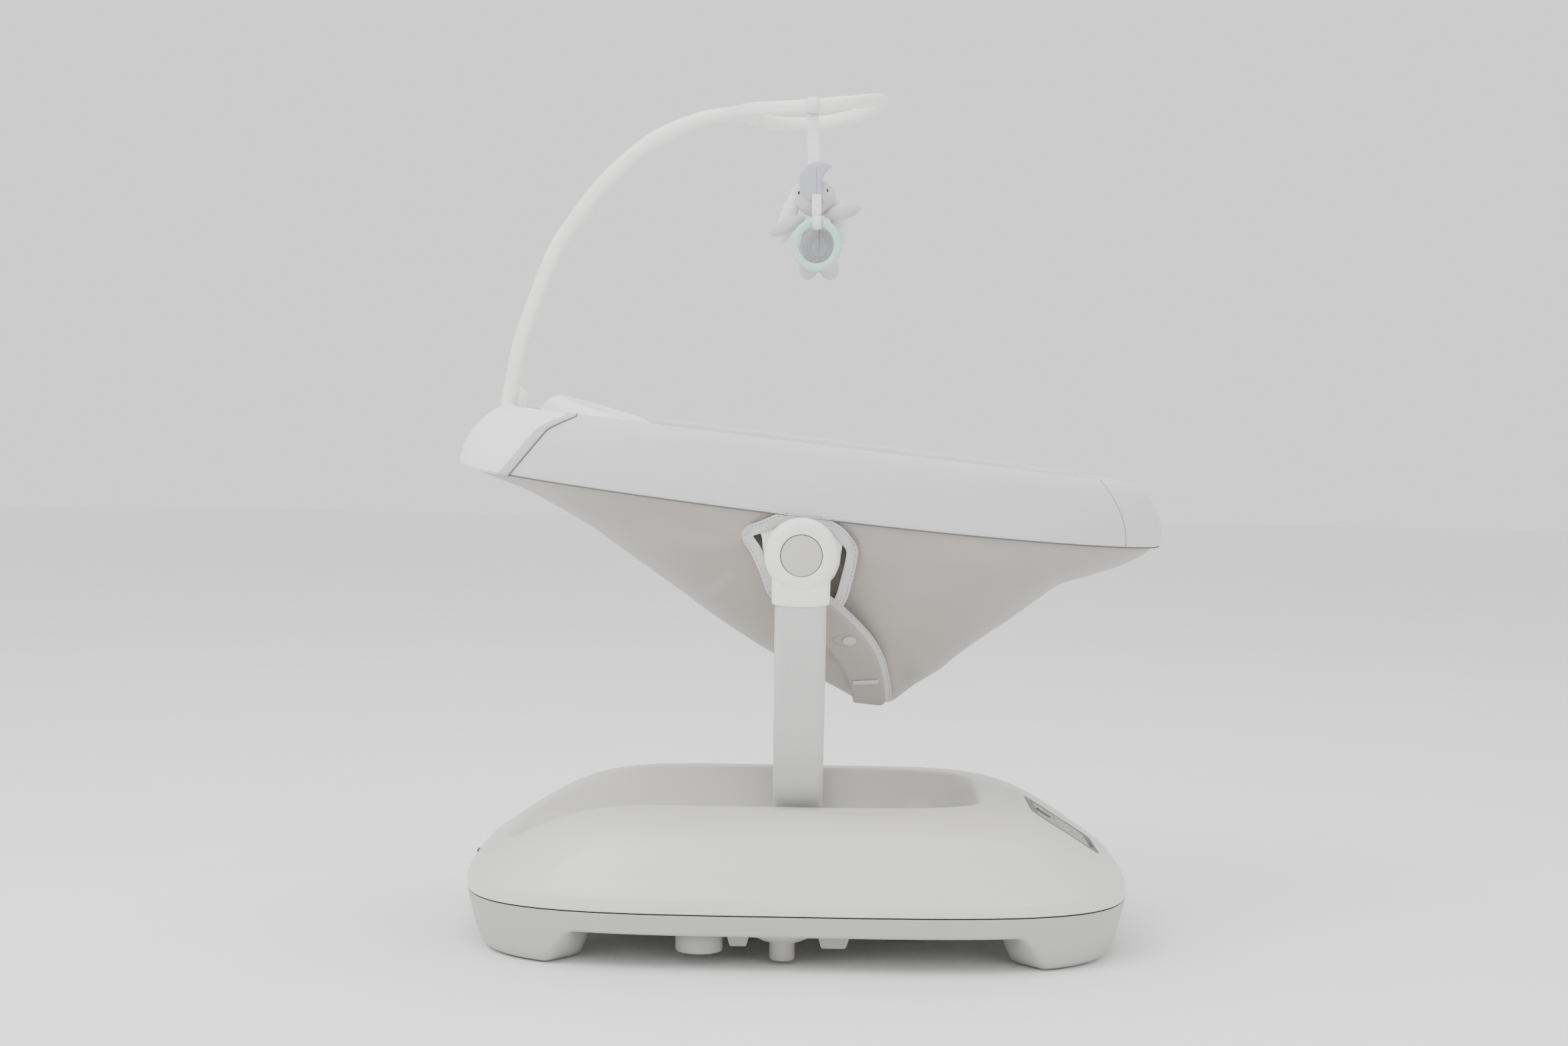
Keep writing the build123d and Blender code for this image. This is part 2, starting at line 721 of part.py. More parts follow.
def toy_bar_arm():
    """Curved arm from the socket to the ring, with a pocket for the latch."""
    lean = math.radians(BAR_LEAN)
    path = Plane.XZ * Spline(BAR_FOOT, *BAR_POINTS, tangents=((math.sin(lean), math.cos(lean)), (1, 0.12)))
    section = socket_axis(0) * Circle(BAR_R)
    arm = sweep(section, path) + socket_rod(BAR_R, SPIGOT, SPIGOT)
    pocket = block((-304, -280), (-4.4, 4.4), (LATCH_Z[0] - 0.4, LATCH_Z[1] + 0.4))
    return arm - pocket - toy_ring()


def toy_bar_latch():
    """Release tab on the foot of the toy bar."""
    profile = Polyline((-301.5, 541), (-292, 541), (-289.5, 546), (-294, 561), (-301.5, 561), close=True)
    return extrude(Plane.XZ * make_face(profile), 4, both=True)


def ellipsoid(centre, radii):
    """Egg-shaped solid."""
    return Pos(*centre) * scale(Sphere(1), by=tuple(radii))


STRAP_Y = -RING_HALF_Y
STRAP_Z = RING_Z - 7.5


def toy_strap():
    """Webbing looped over the ring, down to the plush's head."""
    loop = Pos(STRAP_X, STRAP_Y, STRAP_Z) * Rot(0, 90, 0) * (Cylinder(8.8, 10.5) - Cylinder(7.5, 12))
    tail = block((STRAP_X - 5.25, STRAP_X + 5.25), (STRAP_Y - 0.7, STRAP_Y + 0.7), (774.5, STRAP_Z - 8))
    return loop + tail


HEAD_CENTRE = (TOY_X + 1, STRAP_Y, 760)
HEAD_RADII = (20, 14, 20)
MOON_Y = STRAP_Y - HEAD_RADII[1] - 1.8


def moon_charm():
    """Flat crescent on the front of the plush's head."""
    face = Circle(20.5) - Pos(20.5, 4.4) * Circle(16.8)
    return extrude(Plane.XZ.offset(-MOON_Y) * Pos(TOY_X + 5, 774) * face, 1.4, both=True)


def plush_head():
    """Head of the plush toy, slotted at the top for the strap."""
    slot = block((STRAP_X - 6, STRAP_X + 6), (STRAP_Y - 1, STRAP_Y + 1), (774, 850))
    return ellipsoid(HEAD_CENTRE, HEAD_RADII) - slot


def plush_torso():
    """Body of the plush toy."""
    return ellipsoid((TOY_X + 6, STRAP_Y, 712), (19, 13, 26.5))


def plush_ears():
    """Two long hanging ears."""
    ears = []
    for side in (-1, 1):
        place = Pos(TOY_X + 1 + side * 28.5, STRAP_Y + 6, 744) * Rot(0, -side * 12, 0)
        ears.append(place * scale(Sphere(1), by=(7, 4, 30)))
    return group(ears)


def plush_limbs():
    """Two arms and two legs of the plush toy."""
    limbs = []
    for x, height, rise in ((-19, 729, -36), (38, 744, -14)):
        place = Pos(x, STRAP_Y - 8, height) * Rot(0, rise, 0)
        limbs.append(place * scale(Sphere(1), by=(13, 5, 6.5)))
    for side in (-1, 1):
        place = Pos(TOY_X + 6 + side * 11, STRAP_Y - 2, 681)
        limbs.append(place * scale(Sphere(1), by=(7.5, 7.5, 7)))
    return group(limbs)


TEETHER_R = 21.5
TEETHER_TUBE = 4.0
TEETHER_X = TOY_X + 3
TEETHER_Y = MOON_Y - 7.0
TEETHER_Z = 711.0


def teether_tape():
    """Narrow tape from the crescent down to the teether ring, with a loop round it."""
    top = TEETHER_Z + TEETHER_R
    loop = Pos(TEETHER_X, TEETHER_Y, top) * Rot(0, 90, 0) * (Cylinder(5.9, 8) - Cylinder(4.9, 10))
    tape = block((TEETHER_X - 4, TEETHER_X + 4), (TEETHER_Y - 0.6, TEETHER_Y + 0.6), (top + 5.5, 762))
    bridge = block((TEETHER_X - 4, TEETHER_X + 4), (TEETHER_Y - 0.6, MOON_Y - 1.4), (759, 762))
    return loop + tape + bridge


def teether_ring():
    """Mint teether ring."""
    return Pos(TEETHER_X, TEETHER_Y, TEETHER_Z) * Rot(90, 0, 0) * Torus(TEETHER_R, TEETHER_TUBE)


# ---------------------------------------------------------------- control panel
def button_holes(clearance):
    """Holes through the panel for its push buttons."""
    holes = []
    for along, across, radius in PANEL_BUTTONS.values():
        holes.append(PANEL * Pos(along, across, -10) * extrude(Circle(radius + clearance), 20))
    return holes


def panel_bezel():
    """Dark frame of the control panel with a recess for the pad."""
    plate = PANEL * Pos(0, 0, -3) * extrude(RectangleRounded(PANEL_LENGTH - 0.4, PANEL_WIDTH - 0.4, 15.8), 3)
    recess = PANEL * Pos(0, 0, -1.4) * extrude(RectangleRounded(64, 90, 10), 5)
    plate = plate - recess
    for hole in button_holes(0.3):
        plate -= hole
    return plate


def panel_pad():
    """Light pad in the recess."""
    pad = PANEL * Pos(0, 0, -1.4) * extrude(RectangleRounded(63.4, 89.4, 9.7), 1.2)
    for hole in button_holes(0.3):
        pad -= hole
    return pad


def panel_button(along, across, radius):
    """One push button with its stem."""
    cap = PANEL * Pos(along, across, -2.6) * extrude(Circle(radius), 3.6)
    return cap + PANEL * Pos(along, across, -5.5) * extrude(Circle(2.5), 3)


def circuit_board():
    """Control board behind the panel."""
    return PANEL * Pos(0, 0, -9) * extrude(Rectangle(60, 84), 1.6)


# ---------------------------------------------------------------- write every sub-part
NODES = {
    "lower_shell": lower_shell(),
    "upper_shell": upper_shell(),
    "foot_pads": foot_pads(),
    "housing_screws": housing_screws(),
    "dc_inlet": dc_inlet(),
    "speaker_cup": speaker_cup(),
    "speaker": speaker(),
    "glide_rails": glide_rails(),
    "rail_brackets": rail_brackets(),
    "carriage_block": carriage_block(),
    "carriage_bushes": carriage_bushes(),
    "drive_rack": drive_rack(),
    "drive_pinion": drive_pinion(),
    "gear_motor": gear_motor(),
    "motor_bracket": motor_bracket(),
    "slot_cover": slot_cover(),
    "yoke_crossbar": yoke_crossbar(),
    "hub_bushes": both_sides(hub_bush()),
    "hub_springs": both_sides(hub_spring()),
    "hub_axles": both_sides(hub_axle()),
    "recline_discs": both_sides(recline_disc()),
    "seat_brackets": both_sides(seat_bracket()),
    "seat_frame_tube": seat_frame_tube(),
    "rim_band": rim_band(),
    "head_cover": head_cover(),
    "seat_bag": seat_bag(),
    "seat_pad": seat_pad(),
    "head_pillow": head_pillow(),
    "shoulder_straps": shoulder_straps(),
    "waist_straps": waist_straps(),
    "crotch_strap": crotch_strap(),
    "buckle_body": buckle_body(),
    "buckle_button": buckle_button(),
    "bag_snaps": bag_snaps(),
    "toy_bar_socket": toy_bar_socket(),
    "toy_bar_arm": toy_bar_arm(),
    "toy_bar_latch": toy_bar_latch(),
    "toy_ring": toy_ring(),
    "toy_strap": toy_strap(),
    "moon_charm": moon_charm(),
    "plush_head": plush_head(),
    "plush_torso": plush_torso(),
    "plush_ears": plush_ears(),
    "plush_limbs": plush_limbs(),
    "teether_tape": teether_tape(),
    "teether_ring": teether_ring(),
    "panel_bezel": panel_bezel(),
    "panel_pad": panel_pad(),
    "circuit_board": circuit_board(),
}
for side_name, mirrored in (("left", False), ("right", True)):
    for part_name, part_shape in (("yoke_arm", yoke_arm()), ("hub_housing", hub_housing()), ("hub_button", hub_button())):
        NODES[f"{part_name}_{side_name}"] = mirror(part_shape, about=Plane.XZ) if mirrored else part_shape
for button_name, spot in PANEL_BUTTONS.items():
    NODES[button_name] = panel_button(*spot)
for node_name, node_shape in NODES.items():
    save(node_name, node_shape)
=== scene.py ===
import json
from math import acos, atan2, copysign, cos, exp, hypot, pi, radians, sin, sqrt, tan

import bmesh
import bpy
import numpy as np
from mathutils import Matrix, Vector


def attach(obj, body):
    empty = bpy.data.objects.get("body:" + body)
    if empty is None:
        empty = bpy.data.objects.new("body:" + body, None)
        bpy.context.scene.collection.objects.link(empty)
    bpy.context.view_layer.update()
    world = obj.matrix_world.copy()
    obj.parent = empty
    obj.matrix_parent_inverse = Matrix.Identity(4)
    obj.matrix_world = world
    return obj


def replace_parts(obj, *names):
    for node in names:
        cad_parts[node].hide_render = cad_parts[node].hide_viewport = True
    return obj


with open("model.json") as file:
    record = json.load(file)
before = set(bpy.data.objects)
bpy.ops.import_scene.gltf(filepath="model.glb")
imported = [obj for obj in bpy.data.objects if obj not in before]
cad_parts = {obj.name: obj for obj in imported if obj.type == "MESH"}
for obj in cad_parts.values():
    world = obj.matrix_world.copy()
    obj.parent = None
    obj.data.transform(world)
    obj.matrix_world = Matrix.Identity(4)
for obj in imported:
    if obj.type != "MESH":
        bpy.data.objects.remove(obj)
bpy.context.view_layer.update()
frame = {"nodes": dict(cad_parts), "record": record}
MM = 0.001

# ---------------------------------------------------------------- camera, lights, floor
CAMERA_PLACE = Vector((0.0, -2.8, 0.565))
CAMERA_AIM = Vector((-0.00675, 1.0, -0.04975))
CAMERA_ROLL = 0.0157
CAMERA_LENS = 61.3


def make_camera():
    """Camera at the near side, a little above the seat, with the slight roll of the view."""
    data = bpy.data.cameras.new("view_camera")
    data.lens = CAMERA_LENS
    data.sensor_width = 36.0
    camera = bpy.data.objects.new("view_camera", data)
    bpy.context.collection.objects.link(camera)
    camera.location = CAMERA_PLACE
    turn = CAMERA_AIM.to_track_quat("-Z", "Y").to_matrix().to_4x4()
    camera.matrix_world = Matrix.Translation(CAMERA_PLACE) @ turn @ Matrix.Rotation(CAMERA_ROLL, 4, "Z")
    bpy.context.scene.camera = camera


def area_light(name, place, aim, size, power):
    """Soft square light that looks at a point."""
    data = bpy.data.lights.new(name, "AREA")
    data.energy = power
    data.size = size
    light = bpy.data.objects.new(name, data)
    bpy.context.collection.objects.link(light)
    light.location = place
    light.rotation_mode = "QUATERNION"
    light.rotation_quaternion = (Vector(aim) - Vector(place)).to_track_quat("-Z", "Y")


def make_stage():
    """White studio: bright world, soft lights and a pale floor."""
    world = bpy.data.worlds.new("studio")
    bpy.context.scene.world = world
    world.use_nodes = True
    world.node_tree.nodes["Background"].inputs["Color"].default_value = (1.0, 1.0, 1.0, 1)
    world.node_tree.nodes["Background"].inputs["Strength"].default_value = 1.25
    area_light("key_light", (-1.4, -1.6, 2.6), (0, 0, 0.4), 1.6, 62)
    area_light("fill_light", (1.9, -1.9, 1.2), (0.1, 0, 0.3), 1.6, 10)
    area_light("top_light", (0.2, 0.3, 3.0), (0, 0, 0.3), 2.2, 40)
    floor = bpy.data.meshes.new("studio_floor")
    half = 9.0
    corners = [(-half, -half, 0), (half, -half, 0), (half, half, 0), (-half, half, 0)]
    floor.from_pydata(corners, [], [(0, 1, 2, 3)])
    plane = bpy.data.objects.new("studio_floor", floor)
    bpy.context.collection.objects.link(plane)
    plane.data.materials.append(plastic("floor_white", (0.93, 0.93, 0.93), 0.7, grain=0.0))


# ---------------------------------------------------------------- materials
def shader(name, color, roughness, metallic=0.0):
    """New material with a Principled shader; returns the material, its node tree and the shader."""
    material = bpy.data.materials.new(name)
    material.use_nodes = True
    surface = material.node_tree.nodes["Principled BSDF"]
    surface.inputs["Base Color"].default_value = (*color, 1)
    surface.inputs["Roughness"].default_value = roughness
    surface.inputs["Metallic"].default_value = metallic
    return material, material.node_tree, surface


def add_node(tree, kind, settings=(), **sources):
    """New node with input values from settings, and inputs linked from other nodes' outputs."""
    node = tree.nodes.new("ShaderNode" + kind)
    for key, value in dict(settings).items():
        node.inputs[key].default_value = value
    for key, source in sources.items():
        tree.links.new(source, node.inputs[key])
    return node


def add_variation(tree, surface, color, amount, scale):
    """Slight cloudy colour variation; returns the object coordinates and the colour."""
    coords = add_node(tree, "TexCoord").outputs["Object"]
    noise = add_node(tree, "TexNoise", {"Scale": scale, "Detail": 4}, Vector=coords)
    ramp = add_node(tree, "ValToRGB", Fac=noise.outputs["Fac"])
    for stop, place, change in zip(ramp.color_ramp.elements, (0.3, 0.7), (1 - amount, 1 + amount)):
        stop.position = place
        stop.color = (*[min(c * change, 1) for c in color], 1)
    tree.links.new(ramp.outputs["Color"], surface.inputs["Base Color"])
    return coords, ramp.outputs["Color"]


def add_bump(tree, surface, height, strength, distance):
    """Bump from a height output."""
    bump = add_node(tree, "Bump", {"Strength": strength, "Distance": distance}, Height=height)
    tree.links.new(bump.outputs["Normal"], surface.inputs["Normal"])


def plastic(name, color, roughness, grain=0.12, variation=0.012, metallic=0.0, coat=0.0):
    """Moulded plastic or paint: fine spark-eroded grain and faint colour variation."""
    material, tree, surface = shader(name, color, roughness, metallic)
    surface.inputs["Coat Weight"].default_value = coat
    coords, _ = add_variation(tree, surface, color, variation, 6.0)
    fine = add_node(tree, "TexNoise", {"Scale": 1400, "Detail": 2}, Vector=coords).outputs["Fac"]
    if grain > 0:
        add_bump(tree, surface, fine, grain, 0.0002)
    spread = add_node(tree, "MapRange", {"To Min": roughness - 0.05, "To Max": roughness + 0.05}, Value=fine)
    tree.links.new(spread.outputs["Result"], surface.inputs["Roughness"])
    return material


def metal(name, color, roughness):
    """Drawn or turned metal with faint streaks."""
    return plastic(name, color, roughness, grain=0.06, variation=0.03, metallic=1.0)


def woven(name, color, pitch, depth=0.35, roughness=0.8, sheen=0.25, contrast=0.10):
    """Plain weave: crossing threads as bump and as a faint light and dark grid."""
    material, tree, surface = shader(name, color, roughness)
    surface.inputs["Sheen Weight"].default_value = sheen
    surface.inputs["Sheen Roughness"].default_value = 0.5
    coords, cloudy = add_variation(tree, surface, color, 0.02, 18.0)
    threads = None
    for direction in "XYZ":
        settings = {"Scale": 0.314 / (pitch * MM), "Distortion": 0.6, "Detail Scale": 3}
        wave = add_node(tree, "TexWave", settings, Vector=coords)
        wave.bands_direction = direction
        if threads:
            total = add_node(tree, "Math")
            tree.links.new(threads, total.inputs[0])
            tree.links.new(wave.outputs["Fac"], total.inputs[1])
        threads = total.outputs[0] if threads else wave.outputs["Fac"]
    add_bump(tree, surface, threads, depth, pitch * MM * 0.4)
    settings = {"From Max": 3.0, "To Min": 1.0 - contrast, "To Max": 1.0 + contrast * 0.4}
    shade = add_node(tree, "MapRange", settings, Value=threads)
    tint = add_node(tree, "VectorMath", Vector=cloudy)
    tint.operation = "SCALE"
    tree.links.new(shade.outputs["Result"], tint.inputs["Scale"])
    tree.links.new(tint.outputs["Vector"], surface.inputs["Base Color"])
    return material


def fleece(name, color, scale=900, depth=0.5):
    """Short plush or felt: fine fibres and a soft sheen."""
    material, tree, surface = shader(name, color, 0.95)
    surface.inputs["Sheen Weight"].default_value = 0.5
    surface.inputs["Sheen Roughness"].default_value = 0.6
    coords, _ = add_variation(tree, surface, color, 0.035, 160.0)
    fibres = add_node(tree, "TexNoise", {"Scale": scale, "Detail": 6}, Vector=coords)
    add_bump(tree, surface, fibres.outputs["Fac"], depth, 0.0008)
    return material


MATERIALS = {}
for make_material, material_name, *values, options in (
    (plastic, "upper_white", (0.68, 0.675, 0.645), 0.34, dict(coat=0.08)),
    (plastic, "lower_grey", (0.44, 0.44, 0.415), 0.46, {}),
    (plastic, "arm_grey", (0.54, 0.545, 0.535), 0.38, dict(grain=0.05)),
    (plastic, "hub_white", (0.86, 0.87, 0.83), 0.36, dict(coat=0.05)),
    (plastic, "button_grey", (0.53, 0.525, 0.495), 0.42, {}),
    (plastic, "bar_ivory", (0.90, 0.90, 0.86), 0.36, dict(coat=0.05)),
    (plastic, "dark_panel", (0.10, 0.10, 0.097), 0.5, {}),
    (plastic, "pad_grey", (0.36, 0.36, 0.35), 0.62, dict(grain=0.25)),
    (plastic, "rubber_grey", (0.10, 0.10, 0.10), 0.8, dict(grain=0.3)),
    (metal, "steel", (0.62, 0.62, 0.64), 0.3, {}),
    (metal, "aluminium_tube", (0.75, 0.75, 0.77), 0.35, {}),
    (metal, "bronze", (0.55, 0.38, 0.18), 0.45, {}),
    (plastic, "gear_plastic", (0.80, 0.76, 0.62), 0.5, {}),
    (plastic, "black_plastic", (0.02, 0.02, 0.02), 0.45, {}),
    (plastic, "board_green", (0.01, 0.10, 0.04), 0.35, dict(coat=0.5)),
    (woven, "rim_fabric", (0.63, 0.63, 0.645), 0.8, dict(depth=0.25, contrast=0.05)),
    (woven, "cover_fabric", (0.91, 0.91, 0.925), 0.8, dict(depth=0.25, contrast=0.04)),
    (woven, "bag_fabric", (0.37, 0.345, 0.315), 0.55,
     dict(depth=0.18, roughness=0.5, sheen=0.15, contrast=0.05)),
    # shaded copy of bag_fabric, about 0.4 times as bright: painted shade inside the hammock
    (woven, "bag_inside", (0.15, 0.135, 0.115), 0.55, dict(depth=0.18, contrast=0.05)),
    (fleece, "liner_fabric", (0.84, 0.84, 0.85), dict(scale=500, depth=0.35)),
    (woven, "webbing", (0.42, 0.42, 0.44), 1.6, dict(depth=0.8, roughness=0.75, contrast=0.18)),
    (woven, "hem_tape", (0.56, 0.55, 0.55), 0.7, dict(depth=0.3, contrast=0.06)),
    (woven, "strap_white", (0.88, 0.88, 0.88), 0.9, dict(depth=0.5, contrast=0.06)),
    (plastic, "thread", (0.25, 0.235, 0.225), 0.8, {}),
    # near-black lines: a real seam darkened with painted crease shade, and a painted shadow under the head
    # cover's edge
    (plastic, "seam_dark", (0.12, 0.12, 0.125), 0.8, {}),
    (fleece, "felt_lilac", (0.44, 0.44, 0.51), dict(scale=1200, depth=0.35)),
    (fleece, "plush_fur", (0.56, 0.54, 0.565), {}),
    (fleece, "plush_inner", (0.80, 0.82, 0.80), {}),
    (woven, "linen", (0.50, 0.485, 0.515), 1.3, dict(depth=0.8, roughness=0.9, contrast=0.22)),
    (plastic, "mint", (0.46, 0.72, 0.61), 0.38, dict(grain=0.02, coat=0.1)),
    (plastic, "eye_black", (0.015, 0.015, 0.02), 0.35, dict(grain=0.0)),
    (fleece, "cheek_pink", (0.75, 0.38, 0.42), {}),
):
    MATERIALS[material_name] = make_material(material_name, *values, **options)


CAD_EDGES = (
    (0.4, 2, "panel_bezel panel_pad housing_screws glide_rails"),
    (0.5, 2, "slot_cover carriage_block drive_rack recline_discs hub_axles"),
    (0.6, 2, "foot_pads dc_inlet rail_brackets motor_bracket gear_motor speaker"),
    (0.6, 3, "power_button motion_button timer_button sound_button volume_button"),
    (0.8, 2, "yoke_arm_left yoke_arm_right"),
    (0.8, 3, "toy_bar_socket"),
    (1.2, 3, "buckle_button"),
    (2.5, 4, "buckle_body"),
    (3.0, 4, "yoke_crossbar"),
)


def dress_cad():
    """Gives every CAD node the material of its record slot, and rounds the edges in CAD_EDGES."""
    slot_of = {entry["node"]: entry["material_slot"] for entry in frame["record"]["subparts"]}
    for node, piece in frame["nodes"].items():
        piece.data.materials.clear()
        piece.data.materials.append(MATERIALS[slot_of[node]])
    for width, segments, nodes in CAD_EDGES:
        for node in nodes.split():
            add_bevel(frame["nodes"][node], width * MM, segments)


# ---------------------------------------------------------------- mesh helpers
def mm(x, y, z):
    """Vector in metres from millimetres."""
    return Vector((x * MM, y * MM, z * MM))


def new_piece(name, mesh, body, material, slot=None):
    """Smooth piece that rides on a body, in the material given; the slot argument is not used."""
    piece = bpy.data.objects.new(name, mesh)
    bpy.context.collection.objects.link(piece)
    piece.data.materials.append(MATERIALS[material])
    for face in piece.data.polygons:
        face.use_smooth = True
    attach(piece, body)
    return piece


def solid(name, rows, *place):
    """Piece closed over rows of points; place is its body, material and, if given, a slot that new_piece
    does not use.
    """
    return new_piece(name, grid(name, rows, cap_start=True, cap_end=True), *place)


def grid(name, rows, wrap=True, cap_start=False, cap_end=False):
    """Mesh from rows of points; wrap joins each row's ends, caps close the first and last rows."""
    count = len(rows[0])
    points = [point for row in rows for point in row]
    faces = []
    last = count if wrap else count - 1
    for r in range(len(rows) - 1):
        for c in range(last):
            d = (c + 1) % count
            faces.append((r * count + c, r * count + d, (r + 1) * count + d, (r + 1) * count + c))
    for wanted, base in ((cap_start, 0), (cap_end, (len(rows) - 1) * count)):
        if wanted:
            centre = np.mean([points[base + c] for c in range(count)], axis=0)
            points.append(tuple(centre))
            tip = len(points) - 1
            for c in range(count):
                faces.append((base + c, base + (c + 1) % count, tip))
    mesh = bpy.data.meshes.new(name)
    mesh.from_pydata([tuple(float(v) for v in p) for p in points], [], faces)
    tidy(mesh)
    return mesh


def tidy(mesh):
    """Merges doubled points and turns the faces outwards."""
    work = bmesh.new()
    work.from_mesh(mesh)
    bmesh.ops.remove_doubles(work, verts=work.verts, dist=1e-6)
    bmesh.ops.recalc_face_normals(work, faces=work.faces)
    middle = sum((v.co for v in work.verts), Vector()) / len(work.verts)
    outward = [f.normal.dot(f.calc_center_median() - middle) * f.calc_area() for f in work.faces]
    if sum(outward) < 0:
        bmesh.ops.reverse_faces(work, faces=work.faces)
    work.to_mesh(mesh)
    work.free()
    mesh.update()


def spline(points, per_span=8, closed=False):
    """Catmull-Rom curve through points, as a list of vectors."""
    pts = [np.array(p, dtype=float) for p in points]
    count = len(pts)
    out = []
    spans = count if closed else count - 1
    for i in range(spans):
        if closed:
            p0, p1, p2, p3 = (pts[(i + k - 1) % count] for k in range(4))
        else:
            p1, p2 = pts[i], pts[i + 1]
            p0 = pts[i - 1] if i else 2 * p1 - p2
            p3 = pts[i + 2] if i + 2 < count else 2 * p2 - p1
        for step in range(per_span):
            t = step / per_span
            out.append(0.5 * (2 * p1 + (p2 - p0) * t + (2 * p0 - 5 * p1 + 4 * p2 - p3) * t * t
                              + (3 * p1 - p0 - 3 * p2 + p3) * t ** 3))
    if not closed:
        out.append(pts[-1])
    return out


def sweep(name, path, section, closed=False, up=(0, 0, 1)):
    """Mesh swept along a path; section, in mm, is oval()'s values or gives points at a share of the path."""
    path = [Vector(p) for p in path]
    count = len(path)
    rows = []
    for i, point in enumerate(path):
        ahead = path[(i + 1) % count] if closed or i < count - 1 else point
        behind = path[i - 1] if closed or i > 0 else point
        tangent = (ahead - behind).normalized()
        side = tangent.cross(Vector(up)).normalized()
        top = side.cross(tangent).normalized()
        outline = section(i / max(count - 1, 1)) if callable(section) else oval(*section)
        rows.append([point + (side * a + top * b) * MM for a, b in outline])
    if closed:
        rows.append(rows[0])
        return grid(name, rows)
    return grid(name, rows, cap_start=True, cap_end=True)


def oval(half_a, half_b, power=2.0, count=20):
    """Points of an oval or rounded-rectangle section."""
    points = []
    for step in range(count):
        angle = 2 * pi * step / count
        c, s = cos(angle), sin(angle)
        points.append((half_a * copysign(abs(c) ** (2 / power), c),
                       half_b * copysign(abs(s) ** (2 / power), s)))
    return points


def lathe(name, profile, centre, axis, count=64, caps=True):
    """Turned mesh: profile is a list of (radius, distance along the axis), in millimetres."""
    turn = Vector((0, 0, 1)).rotation_difference(Vector(axis)).to_matrix()
    rows = []
    for radius, along in profile:
        row = []
        for step in range(count):
            angle = 2 * pi * step / count
            local = Vector((radius * cos(angle), radius * sin(angle), along))
            row.append(Vector(centre) + turn @ local * MM)
        rows.append(row)
    return grid(name, rows, cap_start=caps, cap_end=caps)


def join(name, meshes):
    """One mesh from several."""
    work = bmesh.new()
    for mesh in meshes:
        work.from_mesh(mesh)
    joined = bpy.data.meshes.new(name)
    work.to_mesh(joined)
    work.free()
    return joined


def add_subdivision(piece, levels=1):
    """Subdivision surface."""
    modifier = piece.modifiers.new("smooth", "SUBSURF")
    modifier.levels = levels
    modifier.render_levels = levels


def add_thickness(piece, thickness, offset=-1.0):
    """Gives a skin its thickness."""
    modifier = piece.modifiers.new("thick", "SOLIDIFY")
    modifier.thickness = thickness
    modifier.offset = offset


def add_bevel(piece, width, segments=3, angle=35):
    """Rounds the sharp edges of a piece and shades it smoothly."""
    modifier = piece.modifiers.new("rounded", "BEVEL")
    modifier.width = width
    modifier.segments = segments
    modifier.limit_method = "ANGLE"
    modifier.angle_limit = radians(angle)
    modifier.harden_normals = True
    for face in piece.data.polygons:
        face.use_smooth = True


def puff(piece, pressure, cap, voxel=0.005):
    """Inflates a closed piece with a cloth simulation, limited to cap metres of movement."""
    remesh = piece.modifiers.new("remesh", "REMESH")
    remesh.mode = "VOXEL"
    remesh.voxel_size = voxel
    apply_modifiers(piece)
    start = [v.co.copy() for v in piece.data.vertices]
    cloth = piece.modifiers.new("cloth", "CLOTH")
    cloth.settings.quality = 5
    cloth.settings.use_pressure = True
    cloth.settings.uniform_pressure_force = pressure
    cloth.settings.effector_weights.gravity = 0
    for step in range(1, 21):
        bpy.context.scene.frame_set(step)
    apply_modifiers(piece)
    for vertex, place in zip(piece.data.vertices, start):
        move = vertex.co - place
        if move.length > cap:
            vertex.co = place + move.normalized() * cap
    bpy.context.scene.frame_set(1)
    for face in piece.data.polygons:
        face.use_smooth = True
    add_subdivision(piece)


def apply_modifiers(piece):
    """Bakes the modifiers of a piece into its mesh."""
    graph = bpy.context.evaluated_depsgraph_get()
    graph.update()
    baked = bpy.data.meshes.new_from_object(piece.evaluated_get(graph))
    material = piece.data.materials[0]
    piece.modifiers.clear()
    piece.data = baked
    piece.data.materials.clear()
    piece.data.materials.append(material)


def superellipse(angle, power):
    """Unit outline direction (x, y) at an angle."""
    c, s = cos(angle), sin(angle)
    return copysign(abs(c) ** (2 / power), c), copysign(abs(s) ** (2 / power), s)


def even_angles(half_x, half_y, power, count):
    """Angles that space the points of an outline evenly."""
    fine = np.linspace(0, 2 * pi, 4001)
    xy = np.array([superellipse(a, power) for a in fine]) * (half_x, half_y)
    steps = np.hypot(*np.diff(xy, axis=0).T)
    along = np.concatenate([[0], np.cumsum(steps)])
    return np.interp(np.linspace(0, along[-1], count, endpoint=False), along, fine)


def smooth_table(sections, per_span=8):
    """Rows between the given sections, on a smooth curve through them."""
    return np.array(spline(sections, per_span))


# ---------------------------------------------------------------- base, in millimetres
UPPER = smooth_table([
    (70, 338, 249, 3.8), (78, 333, 244.5, 3.9), (88, 320, 238, 4.1), (103, 297, 229, 4.5),
    (118, 273, 218, 5.0), (130, 250, 206, 5.5), (140, 224, 190, 6.0), (146, 196, 174, 6.0),
    (148, 172, 160, 6.0),
])
CROWN = 1.5
TROUGH = smooth_table([
    (85, -23.5, 188.5, 112), (93, -46, 216, 117), (101, -60, 234, 121), (125, -70, 252, 131),
    (152, -80, 270, 143),
])
TROUGH_POWER = 5.0
TROUGH_TOP = 152
BEYOND_TROUGH = 600
RIDGE_ROUNDING = 9.0
PARTING = 57.5
BASE_HALF = (338.5, 249.5)
BASE_POWER = 3.8
SKIRT = 36.0
PANEL_PLACE = (278.0, 112.3)
PANEL_SLOPE = radians(32.0)
PANEL_HALF = (43.0, 59.0)
PANEL_BLEND = 26
PANEL_LIP = 0.35
PANEL_RECESS = 2.2


def smooth_min(a, b, width):
    """Lower of two heights, with a rounded meeting."""
    share = min(max(0.5 + 0.5 * (b - a) / width, 0.0), 1.0)
    return b * (1 - share) + a * share - width * share * (1 - share)


